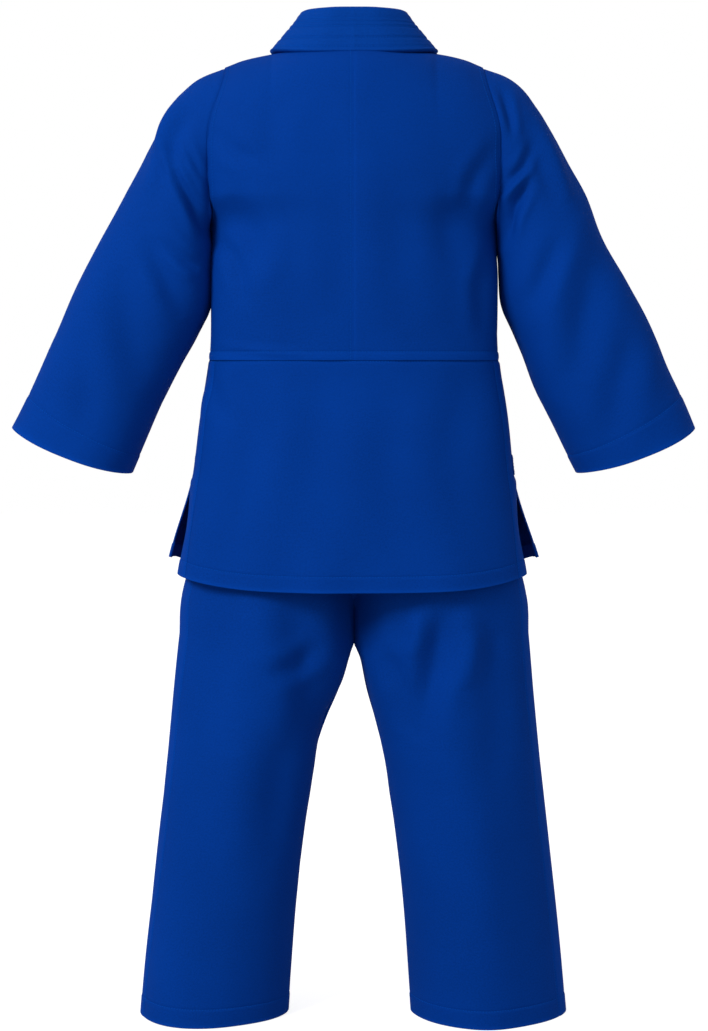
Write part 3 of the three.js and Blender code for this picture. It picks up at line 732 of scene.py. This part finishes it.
def flareOut(points, level):
    # below the vents the front skirts hang free: their side edges stand away from the hips and rise a little
    moved = points.copy()
    fall = np.clip((ventZ - level) / (ventZ - jacketHemZ), 0, 1)
    moved[..., 0] += jacket["flare"] * fall**1.3 * np.clip(points[..., 0] / sideAt(level), 0, 1) ** 10
    share = np.clip(moved[..., 0] / sideAt(jacketHemZ), 0, 1.1)
    moved[..., 2] += jacket["frontHemRise"] * (1 - ease(jacketHemZ, ventZ, level)) * share**4
    return moved


# the band runs round the neck as the collar and down both fronts as the lapels
band = {"rows": (0.05, 0.28, 0.57, 0.68, 0.77), "half": 0.0045, "lapelHalf": 0.0030, "lapelShift": 0.0010,
        "wall": 0.0017, "rowDepth": 0.0009, "rowWidth": 0.0016, "shoulderShare": 3 / 9, "lap": 0.075,
        "foldAt": 0.94, "puff": 0.0004, "edgeIn": 0.0008}
ribbonLevels = [armMidZ, 1.092, 1.066, splitZ]


def onFront(x, level, proud=0.0):
    # a place on the fronts' surface, measured from the body's middle plane
    return jacketPoint(angleOf(x, level), np.asarray(level, float), False, proud) - [0, middleY, 0]


def ribbon(proud):
    # the sewn edge and the free edge of the band on one side, from the centre back to the split in the front
    sewnEdge = [(0, 0.062, 1.248), (0.050, 0.056, 1.249), (0.087, 0.034, 1.252), (0.103, 0, 1.254),
                onFront(0.098, 1.225), onFront(0.091, 1.180)]
    freeEdge = [(0, 0.043, 1.300), (0.030, 0.0405, 1.300), (0.060, 0.020, 1.2995), (0.064, -0.012, 1.297),
                (0.056, -0.052, 1.276), (0.042, -0.093, 1.228)]
    sewnEdge += [onFront(lapelOuter(level) - band["edgeIn"], level, proud(0, level)) for level in ribbonLevels]
    freeEdge += [onFront(lapelIn(level), level, proud(0, level)) for level in ribbonLevels]
    return throughPoints(sewnEdge), throughPoints(freeEdge)


def bandProfile(half, shift, columns):
    # round the band's section: up the outside, over the folded edge and down the inside; each quilted row is a dip
    s = columns * 2
    rise = mix(-band["lap"], 1, np.minimum(np.where(s < 1, s, 2 - s) / band["foldAt"], 1))
    turn = np.clip((s - band["foldAt"]) / 0.12, 0, 1) * np.pi
    under = np.clip((np.abs(s - 1) - 0.985) / 0.015, 0, 1)
    dips = sum(bell((rise - row) * jacket["lapelWidth"], band["rowWidth"]) for row in band["rows"])
    puff = band["puff"] * np.abs(np.sin(rise * 23))
    body = (half - band["rowDepth"] * dips + puff * (turn == 0)) * (1 - 0.75 * under)
    return rise, body * np.cos(turn) + shift, half * np.sin(turn)


def ribbonGrid(curves, along, columns, half, shift):
    # the band's section carried along its sewn and free edges
    sewnEdge, freeEdge = [curve(along)[:, None] for curve in curves]
    up = freeEdge - sewnEdge
    run = np.gradient(sewnEdge[:, 0] + freeEdge[:, 0], axis=0)[:, None]
    outer = unitRows(np.cross(up, run))
    outer = np.where((outer * [0, 0, 1]).sum(-1, keepdims=True) < -0.2, -outer, outer)
    rise, off, fold = bandProfile(half[:, None], shift[:, None], columns[None, :])
    tuck = mix(0.55, 1, ease(0.100, 0.070, np.abs(sewnEdge[:, :, 0])))
    rise = np.where(rise < 0, rise * tuck, rise)
    points = sewnEdge + up * rise[..., None] + outer * off[..., None] + unitRows(up) * fold[..., None]
    return points + [0, middleY, 0]


def bandColumns():
    # columns round the section, with finer ones at each quilted row and at the fold
    rows = [rowColumn(row) for row in band["rows"]]
    return lines(0.0, 1.0, 0.022, [*rows, *[1 - row for row in rows], 0.5], 1 / 0.11)[:-1]


def rowColumn(row):
    # the column of a row at a share of the way up the outside
    return (row + band["lap"]) / (1 + band["lap"]) * band["foldAt"] / 2


def bandRows(points, columns, normal):
    # the stitch rows of the outside, one along each quilted row
    return rowsAt(points, normal, *[np.s_[:, at(columns, rowColumn(row))] for row in band["rows"]])


def foldWear(points, columns):
    # paler along the folded edge
    return np.zeros(points.shape[:2]) + 0.25 * bell(columns - 0.5, 0.04)

def collarBand():
    # the band round the neck: one half and its mirror, joined at the centre back
    columns = bandColumns()
    half = lines(0.0, band["shoulderShare"] - 0.0015, 0.006)
    curves = ribbon(wrapProud)
    left = ribbonGrid(curves, half, columns, np.full(len(half), band["half"]), np.zeros(len(half)))
    left[0] = (left[0] + left[0] * [-1, 1, 1]) / 2
    points = np.concatenate([(left * [-1, 1, 1])[::-1], left[1:]])
    normal = outward(points, True)
    piece = clothPiece("collarBand", points, "quilted_band", band["wall"], True, bandRows(points, columns, normal),
                       wear=foldWear(points, columns), nodes=("collar_neck_band",))
    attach(piece, "jacket")


def lapel(side):
    # the band down one front: along the neckline, then straight down to the hem
    name, proud = ("Left", wrapProud) if side > 0 else ("Right", lambda x, level: 0 * (x + level))
    columns = bandColumns()
    along = lines(band["shoulderShare"], 0.998, 0.008)
    flat = ease(band["shoulderShare"], band["shoulderShare"] + 0.15, along)
    curves = ribbon(proud)
    upper = ribbonGrid(curves, along, columns, mix(band["half"], band["lapelHalf"], flat), band["lapelShift"] * flat)
    levels = lines(jacketHemZ, splitZ - 0.0035, 0.0045)[::-1]
    rise, off, fold = bandProfile(band["lapelHalf"], band["lapelShift"], columns)
    level = levels[:, None] + 0 * rise
    x = lapelOuter(level) - band["edgeIn"] - (jacket["lapelWidth"] - band["edgeIn"]) * rise - fold
    lower = jacketPoint(angleOf(x, level), level, False, proud(x, level) + off)
    points = mirror(np.concatenate([upper, lower]), side)
    normal = outward(points, True)
    nodes = (f"lapel_{name.lower()}_upper", f"lapel_{name.lower()}_lower")
    piece = clothPiece(f"lapel{name}", points, "quilted_band", band["wall"], True, bandRows(points, columns, normal),
                       wear=foldWear(points, columns), nodes=nodes)
    rideFront(piece, side)


# the sleeve's upper and lower outlines: (x, z) places from the armhole to the cuff
sleeveOver = throughPoints([(0.1832, 1.229), (0.213, 1.2125), (0.2505, 1.161), (0.279, 1.104), (0.309, 1.046),
                            (0.338, 0.988), (0.383, 0.898), (0.442, 0.773)])
sleeveUnder = throughPoints([(0.1832, 1.018), (0.1835, 0.995), (0.1840, 0.965), (0.1875, 0.930), (0.204, 0.893),
                             (0.224, 0.853), (0.256, 0.783), (0.290, 0.714)])
sleeve = {"drop": 0.008, "dropAlong": (0.36, 0, -0.93), "hem": 0.024, "length": 0.52,
          "start": 0.188, "end": 0.262}
leftCreases = [
    ([(0.227, 1.102), (0.203, 1.057), (0.187, 1.018)], 0.0075, -0.0042),
    ([(0.222, 1.124), (0.204, 1.090), (0.189, 1.056)], 0.0055, -0.0022),
    ([(0.214, 1.132), (0.200, 1.106), (0.189, 1.084)], 0.0050, -0.0018),
    ([(0.241, 1.134), (0.236, 1.108), (0.229, 1.084)], 0.0060, 0.0020),
    ([(0.222, 1.188), (0.238, 1.154), (0.249, 1.120)], 0.0100, 0.0026),
    ([(0.226, 1.184), (0.248, 1.124), (0.263, 1.068)], 0.0110, 0.0022),
    ([(0.262, 1.020), (0.236, 0.960), (0.214, 0.912)], 0.0130, -0.0022),
    ([(0.300, 0.980), (0.280, 0.900), (0.276, 0.820)], 0.0200, -0.0022),
    ([(0.352, 0.900), (0.340, 0.830), (0.344, 0.760)], 0.0180, -0.0018),
    ([(0.196, 0.975), (0.214, 0.985), (0.240, 1.010)], 0.0080, -0.0020),
]
rightCreases = [
    ([(0.217, 1.082), (0.196, 1.040), (0.191, 1.010)], 0.0075, -0.0038),
    ([(0.218, 1.094), (0.203, 1.077), (0.188, 1.060)], 0.0050, 0.0022),
    ([(0.199, 1.200), (0.1985, 1.170), (0.199, 1.140)], 0.0050, -0.0018),
    ([(0.230, 1.170), (0.253, 1.111), (0.271, 1.055)], 0.0100, 0.0026),
    ([(0.226, 1.130), (0.212, 1.100), (0.194, 1.085)], 0.0060, -0.0018),
    ([(0.262, 1.020), (0.240, 0.965), (0.226, 0.925)], 0.0120, -0.0020),
    ([(0.300, 0.990), (0.286, 0.900), (0.284, 0.830)], 0.0200, -0.0020),
    ([(0.356, 0.900), (0.336, 0.830), (0.330, 0.760)], 0.0180, -0.0018),
]


def sleevePiece(side):
    # rings between the shoulder line and the underarm line: ovals that stay as deep as the armhole, a little
    # squarer at the cuff, where the back hangs lower than the front
    name, listed, seed = ("Left", leftCreases, 51) if side > 0 else ("Right", rightCreases, 52)
    u = np.linspace(0, 1, 157)[:-1]
    whole = sleeve["length"]
    seamIn = 1 - sleeve["hem"] / whole
    share = lines(0.0, 1.0, cloth["step"] / whole, [seamIn], 1 / whole)
    over, under = sleeveOver(share)[:, None], sleeveUnder(share)[:, None]
    middle, half = (over + under) / 2, (over - under) / 2
    turn = u[None, :] * 2 * np.pi
    swing, lift = np.sin(turn), np.cos(turn)
    square = mix(1.0, 0.86, ease(0.05, 0.9, share))[:, None]
    plan = middle + half * (np.sign(lift) * np.abs(lift) ** square)[..., None]
    deep = jacket["armDepth"] * np.sign(swing) * np.abs(swing) ** square
    drop = sleeve["drop"] * share[:, None] ** 3 * swing**2 * np.where(swing > 0, 1, 0.5)
    points = np.stack([plan[..., 0], middleY + deep, plan[..., 1]], -1)
    points = points + np.array(sleeve["dropAlong"]) * drop[..., None]
    length = share[:, None] * whole
    rowDip = cloth["rowDip"] * bell((share[:, None] - seamIn) * whole, cloth["rowWidth"])
    hem = cloth["hemProud"] * ease(seamIn - 0.002, seamIn + 0.002, share)[:, None] - rowDip
    wave = drift(points, seed, 0.0032, 0.05, 0.16) * ease(0.0, 0.12, length)
    seamLine = -0.0007 * bell((u[None, :] - 0.5) * 0.5, 0.0016)
    rolled, away = sewn(points, ("low",), True), ease(-0.002, 0.012, length)
    amount = hem + wave + seamLine + rolled + creases(points, listed, 1) + creases(points, frontSleeveCreases, -1)
    amount = amount * away + rolled * (1 - away)
    points = mirror(leanIn(dipAtArm(swell(points, amount, True))), side)
    normal = outward(points, True)
    loop = ringAt(points, normal, at(share, seamIn))
    nodes = (f"sleeve_{name.lower()}", f"cuff_hem_facing_{name.lower()}")
    thick = mix(cloth["thick"], cloth["hemThick"], ease(seamIn - 0.001, seamIn + 0.001, share))[:, None]
    piece = clothPiece(f"sleeve{name}", points, "cotton_drill", thick, True, [loop], nodes=nodes,
                       wear=0.6 * bell(share[:, None] - 1, 0.007) + 0 * turn)
    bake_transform(piece)
    declareSheet(piece, points, True)


frontSleeveCreases = [
    ([(0.222, 1.110), (0.206, 1.060), (0.190, 1.010)], 0.0080, -0.0038),
    ([(0.226, 1.140), (0.206, 1.100), (0.190, 1.070)], 0.0060, -0.0022),
    ([(0.262, 1.030), (0.240, 0.960), (0.222, 0.900)], 0.0130, -0.0026),
    ([(0.310, 0.970), (0.290, 0.890), (0.290, 0.800)], 0.0200, -0.0022),
]


# the trousers: half widths and depths in metres, by height
seatSide = through((0.505, 0.220), (0.560, 0.205), (0.600, 0.202), (0.650, 0.202), (0.713, 0.197), (0.800, 0.180),
                   (0.865, 0.162), (0.905, 0.158))
seatBack = through((0.505, 0.090), (0.600, 0.092), (0.713, 0.093), (0.800, 0.089), (0.865, 0.083), (0.905, 0.082))
seatFront = through((0.505, 0.088), (0.600, 0.090), (0.713, 0.091), (0.800, 0.087), (0.865, 0.081), (0.905, 0.080))
seatDepth = {True: seatBack, False: seatFront}  # by whether it is the back
legOuter = through((0, 0.280), (0.094, 0.271), (0.216, 0.258), (0.295, 0.249), (0.420, 0.234), (0.505, 0.226))
legInner = through((0, 0.0815), (0.163, 0.069), (0.308, 0.050), (0.392, 0.0315), (0.436, 0.018), (0.470, 0.0085),
                   (0.486, 0.0015), (0.495, 0.0), (0.505, 0.0))
legDepth = {True: through((0, 0.084), (0.300, 0.084), (0.505, 0.090)),
            False: through((0, 0.082), (0.300, 0.082), (0.505, 0.088))}
trousers = {"hem": 0.024, "legFoldStart": 0.507, "legFoldEnd": 0.350, "width": 0.27, "stripAt": 0.86,
            "swing": 0.0062, "cleft": 0.026, "cleftWidth": 0.018, "close": 0.0009, "seed": 61}
legCreases = {(1, 1): [([(0.082, 0.560), (0.055, 0.440), (0.031, 0.324)], 0.022, -0.0034),
                       ([(0.150, 0.600), (0.166, 0.480), (0.158, 0.350)], 0.030, -0.0026),
                       ([(0.200, 0.560), (0.196, 0.420), (0.206, 0.260)], 0.026, -0.0020),
                       ([(0.040, 0.500), (0.070, 0.470), (0.110, 0.462)], 0.012, -0.0022),
                       ([(0.060, 0.430), (0.092, 0.330), (0.110, 0.200)], 0.024, -0.0024)],
              (-1, 1): [([(-0.121, 0.560), (-0.109, 0.492), (-0.090, 0.428), (-0.081, 0.364)], 0.016, -0.0040),
                        ([(-0.083, 0.540), (-0.082, 0.515), (-0.074, 0.480)], 0.012, 0.0024),
                        ([(-0.153, 0.520), (-0.152, 0.490), (-0.144, 0.440)], 0.014, 0.0026),
                        ([(-0.036, 0.500), (-0.060, 0.440), (-0.060, 0.380)], 0.014, -0.0026),
                        ([(-0.180, 0.560), (-0.186, 0.430), (-0.176, 0.300)], 0.026, -0.0024),
                        ([(-0.100, 0.330), (-0.120, 0.220), (-0.130, 0.110)], 0.026, -0.0020)],
              (1, -1): [([(0.070, 0.560), (0.062, 0.440), (0.050, 0.320)], 0.020, -0.0032),
                        ([(0.140, 0.600), (0.150, 0.460), (0.146, 0.330)], 0.028, -0.0026),
                        ([(0.090, 0.240), (0.150, 0.225), (0.210, 0.232)], 0.016, -0.0018)],
              (-1, -1): [([(-0.076, 0.560), (-0.064, 0.440), (-0.054, 0.320)], 0.020, -0.0032),
                         ([(-0.150, 0.600), (-0.142, 0.460), (-0.150, 0.330)], 0.028, -0.0026),
                         ([(-0.100, 0.236), (-0.150, 0.220), (-0.200, 0.236)], 0.016, -0.0018)]}


def lobe(share, height, depth, side):
    # half of a leg's section: half an oval from the inner edge (share 0) to the outer edge (share 1), rounder
    # towards the hem; both legs hang a little to the wearer's left
    inner, outer = legInner(height) + side * trousers["swing"] * (1 - ease(0.30, 0.50, height)), legOuter(height)
    x = (inner + outer) / 2 - (outer - inner) / 2 * np.cos(share * np.pi)
    return x, depth * np.clip(np.sin(share * np.pi), 0, 1) ** mix(1.3, 0.9, ease(0.0, 0.36, height))


def trouserPoint(share, height, isBack, side):
    # the leg below the hips; above them one oval at the waist that parts into two lobes at the crotch
    depth = np.where(height > hipZ, seatDepth[isBack](height), legDepth[isBack](height))
    x, y = lobe(share, np.minimum(height, hipZ), depth, side)
    ovalX = seatSide(height) * np.sin(share * rightAngle)
    ovalY = depth * np.clip(np.cos(share * rightAngle), 0, 1) ** 0.8
    parted = np.where(height > hipZ, 1 - ease(hipZ + 0.02, 0.665, height), 1)
    x, y = mix(ovalX, x, parted) + seamGap, mix(ovalY, y, parted) - seamLap
    cleft = trousers["cleft"] * ease(0.470, 0.490, height) * (1 - ease(0.575, 0.640, height))
    y = y - cleft * bell(x, trousers["cleftWidth"]) * ease(0.0, 0.08, y)
    return np.stack(np.broadcast_arrays(x, middleY + (y if isBack else -y), height), -1)


def legUneven(points, share, side, face):
    # a leg's slow unevenness, which fades out at its seams, and its folds
    placed = mirror(points, side)
    slow = drift(placed, trousers["seed"] + side + 2 * face, 0.0042, 0.07, 0.24)
    return slow * np.sin(np.pi * np.clip(share, 0, 1)) ** 0.5 + creases(placed, legCreases[side, face], face)

def legMiddle(points, side):
    # the middle of the leg at each point's height, which its outside faces away from
    return np.array([side * 0.15, middleY, 0]) + points * [0, 0, 1]

def trouserPiece(side, isBack):
    # one half of a leg with the seat above it, from the inner seam to the outer one
    stripAt, width = trousers["stripAt"], trousers["width"]
    shares = lines(0.0, 1.0, cloth["step"] / width, [stripAt], 1 / width)
    heights = lines(0.0, seatZ - seamGap, cloth["step"], [trousers["hem"]])
    share, height = np.meshgrid(shares, heights)
    points = trouserPoint(share, height, isBack, side)
    face = 1 if isBack else -1
    strip = 0.0006 * ease(stripAt - 0.012, stripAt + 0.012, share) - 0.0006 * bell((share - stripAt) * width, 0.0012)
    amount = (hemFold(height, 0.0, trousers["hem"]) + strip + sewn(points, ("first", "last"))
              + legUneven(points, share, side, face)
              + 0.0016 * np.sin(share * 40 + height * 9) * ease(0.80, seatZ, height))
    amount = amount * np.where(height > hipZ - 0.025, ease(0.0, 0.06, share), 1.0)
    points = swell(points, amount)
    closed = ease(0.484, 0.489, height) * (1 - ease(0.0, 0.05, share))
    points[..., 0] = np.maximum(points[..., 0], seamGap) - trousers["close"] * closed
    points[..., 2] = np.maximum(points[..., 2], 0.0)
    points = mirror(points, side)
    normal = outward(points, inside=legMiddle(points, side))
    rows = rowsAt(points, normal, at(heights, trousers["hem"]), np.s_[:, at(shares, stripAt)])
    word = sideWord(side)
    where = "back" if isBack else "front"
    nodes = [f"trousers_{where}_{word}", f"leg_{word}_{where}"] + ([f"leg_hem_facing_{word}"] if isBack else [])
    piece = clothPiece(f"trouser{where.title()}{word.title()}", points, "cotton_drill",
                       hemThick(height, 0.0, trousers["hem"]), rows=rows, nodes=nodes,
                       inside=legMiddle(points, side),
                       wear=0.6 * bell(height, 0.004) + 0.4 * ease(stripAt - 0.01, stripAt + 0.01, share))
    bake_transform(piece)
    declareSheet(piece, points)


casing = {"half": 0.0036, "wall": 0.0014, "gathers": 46, "gatherDepth": 0.0016, "rows": (0.16, 0.90)}


def waistCasing():
    # an oval ring of folded cloth round the elastic: small gathers run up and down all the way round
    turn = np.linspace(0, 2 * np.pi, 461)[:-1][None, :]
    v = lines(0.0, 1.0, 0.03, [0.5, 0.16, 0.42], 1 / 0.09)[:, None]
    climb = np.where(v < 0.5, np.minimum(v / 0.46, 1), np.minimum((1 - v) / 0.46, 1))
    fold = np.clip((v - 0.46) / 0.08, 0, 1) * np.pi
    wander = np.sin(casing["gathers"] * turn + 1.3 * np.sin(7 * turn))
    gather = casing["gatherDepth"] * wander * (0.4 + 0.6 * np.sin(np.pi * climb))
    dips = 0.0009 * sum(bell(climb - row, 0.03) for row in casing["rows"]) * (fold == 0)

    def ring(half, height):
        out = half - casing["half"] + gather
        side, deep = seatSide(seatZ) + out, seatDepth[True](seatZ) + out
        y = deep * np.sign(np.sin(turn)) * np.abs(np.sin(turn)) ** 0.9
        return np.stack(np.broadcast_arrays(side * np.cos(turn), middleY + y, height), -1)

    height = mix(seatZ + seamGap, casingZ - casing["half"], climb) + 0 * turn
    points = ring((casing["half"] - dips) * np.cos(fold), height + casing["half"] * np.sin(fold))
    inside = ring(0 * fold, height)
    normal = outward(points, True, inside)
    rows = [ringAt(points, normal, at(climb[:, 0], row)) for row in casing["rows"]]
    piece = clothPiece("waistCasing", points, "cotton_drill", casing["wall"], True, rows, inside=inside,
                       nodes=("trousers_waistband",))
    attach(piece, "trousers")
    declareSheet(piece, points, True)


patch = {"rowIn": 0.005, "out": 0.0024, "edgeOut": 0.0008, "thick": 0.0018, "ventThick": 0.0014}


def knee(side):
    # a patch over the front of the leg, standing on it all round and stitched down near its edges
    shares = lines(0.20, 0.80, 0.014, [0.215, 0.785], 1 / trousers["width"])
    heights = lines(patchLow, patchHigh, 0.0036, [patchLow + patch["rowIn"], patchHigh - patch["rowIn"]])
    share, height = np.meshgrid(shares, heights)
    word = sideWord(side)
    base = trouserPoint(share, height, False, side)
    fromSides = np.minimum(share - 0.20, 0.80 - share) * trousers["width"]
    edge = np.minimum(fromSides, np.minimum(height - patchLow, patchHigh - height))
    amount = (legUneven(base, share, side, -1) + patch["out"] + patch["edgeOut"] * ease(0, 0.003, edge)
              - cloth["rowDip"] * bell(edge - patch["rowIn"], 0.0012))
    points = mirror(swell(base, amount), side)
    normal = outward(points, inside=legMiddle(points, side))
    i, j = at(shares, 0.2185), at(heights, patchLow + patch["rowIn"])
    rows = rowsAt(points, normal, j, -1 - j, np.s_[:, i], np.s_[:, -1 - i])
    piece = clothPiece(f"kneePatch{word.title()}", points, "cotton_drill", patch["thick"], rows=rows,
                       nodes=(f"knee_patch_{word}",), inside=legMiddle(points, side))
    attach(piece, f"leg_{word}")
    declareSheet(piece, points)


def ventPatch(side):
    # a small patch over each side seam at the top of the vent, sewn down all round
    turns = lines(-0.13, 0.13, 0.012, [-0.112, 0.112], 1 / 0.09)
    levels = lines(ventZ - 0.001, ventZ + 0.024, 0.0024, [ventZ + 0.003, ventZ + 0.020])
    turn, level = np.meshgrid(turns, levels)
    base = jacketPoint(rightAngle - np.abs(turn), level, True, 0.0019)
    base[..., 1] = middleY + (base[..., 1] - middleY - seamGap) * np.where(turn < 0, 1, -1)
    points = mirror(base, side)
    normal = outward(points)
    i, j = at(turns, -0.112), at(levels, ventZ + 0.003)
    rows = rowsAt(points, normal, j, at(levels, ventZ + 0.020), np.s_[:, i], np.s_[:, -1 - i])
    word = sideWord(side)
    piece = clothPiece(f"ventPatch{word.title()}", points, "cotton_facing", patch["ventThick"], rows=rows,
                       nodes=(f"vent_patch_{word}",))
    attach(piece, "jacket")
    declareSheet(piece, points)


def keepCad():
    # the hidden stiffening, tape, gussets and elastic keep the frame's own shape
    for node, finish in (("collar_core", finishes["band_core"]), ("waist_elastic", finishes["elastic_web"]),
                         ("waist_tape_back", keptFacing), ("crotch_gusset", keptFacing),
                         ("underarm_gusset_left", keptFacing), ("underarm_gusset_right", keptFacing)):
        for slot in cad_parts[node].material_slots:
            slot.material = finish


jacketBackPanel()
jacketBackSkirt()
for side in (1, -1):
    jacketFrontPanel(side)
    jacketFrontSkirt(side)
    lapel(side)
    sleevePiece(side)
    ventPatch(side)
    knee(side)
    for isBack in (True, False):
        trouserPiece(side, isBack)
collarBand()
waistCasing()
keepCad()
print("uniform made")


def flatFinish(name, rgb, rough):
    # a matt pale finish that looks brighter to the camera than to the rest of the scene
    finish = Finish(name)
    place = finish.make("ShaderNodeTexCoord", output="Object")
    shade = finish.noise(place, 1.5, 2.0)
    colour = finish.blend(shade, shaded(rgb, 0.995), shaded(rgb, 1.0))
    plain = finish.make("ShaderNodeBsdfPrincipled", {}, {"Base Color": colour, "Roughness": rough})
    bright = finish.make("ShaderNodeBsdfPrincipled", {}, {
        "Base Color": colour, "Roughness": rough, "Emission Color": (1.0, 1.0, 1.0, 1.0), "Emission Strength": 0.78})
    seen = finish.make("ShaderNodeLightPath", output="Is Camera Ray")
    both = finish.make("ShaderNodeMixShader", {}, {0: seen, 1: plain, 2: bright})
    finish.make("ShaderNodeOutputMaterial", {}, {"Surface": both})
    return finish.material


floorSize = 9.0
mesh = bpy.data.meshes.new("floor")
mesh.from_pydata([(x * floorSize, y * floorSize, -0.0006) for x, y in ((-1, -1), (1, -1), (1, 1), (-1, 1))], [],
                 [(0, 1, 2, 3)])
mesh.materials.append(flatFinish("paleFloor", (0.5, 0.5, 0.505), 0.9))
floor = bpy.data.objects.new("floor", mesh)
bpy.context.scene.collection.objects.link(floor)

world = bpy.data.worlds.new("paleRoom")
world.use_nodes = True
roomNodes, roomLinks = world.node_tree.nodes, world.node_tree.links
roomNodes.clear()
eye = roomNodes.new("ShaderNodeLightPath")
strength = roomNodes.new("ShaderNodeMix")
strength.inputs[2].default_value, strength.inputs[3].default_value = 0.62, 1.0
room = roomNodes.new("ShaderNodeBackground")
room.inputs["Color"].default_value = (1.0, 1.0, 1.0, 1.0)
roomLinks.new(eye.outputs["Is Camera Ray"], strength.inputs[0])
roomLinks.new(strength.outputs[0], room.inputs["Strength"])
roomLinks.new(room.outputs[0], roomNodes.new("ShaderNodeOutputWorld").inputs["Surface"])
bpy.context.scene.world = world

# a large soft key from the upper left of the view, and a small one low on the right, both behind the camera
lights = {"key": ((2.5, 2.5, 2.7), 1.4, 108.0), "low": ((-2.2, 3.0, 1.0), 2.0, 7.0)}
for name, (place, size, power) in lights.items():
    light = bpy.data.lights.new(name, "AREA")
    light.shape, light.size, light.energy = "DISK", size, power
    lamp = bpy.data.objects.new(name, light)
    lamp.location = place
    lamp.rotation_euler = (Vector((0, middleY, 0.72)) - Vector(place)).to_track_quat("-Z", "Y").to_euler()
    bpy.context.scene.collection.objects.link(lamp)

view = {"place": (0.0, 2.806, 0.863), "down": 4.2, "lens": 75.2}
camera = bpy.data.cameras.new("view")
camera.lens, camera.sensor_width = view["lens"], 36.0
viewer = bpy.data.objects.new("view", camera)
viewer.location = view["place"]
viewer.rotation_euler = (np.radians(90 - view["down"]), 0, np.pi)
bpy.context.scene.collection.objects.link(viewer)
bpy.context.scene.camera = viewer
bpy.context.scene.view_settings.view_transform = "Standard"

print("stage set")
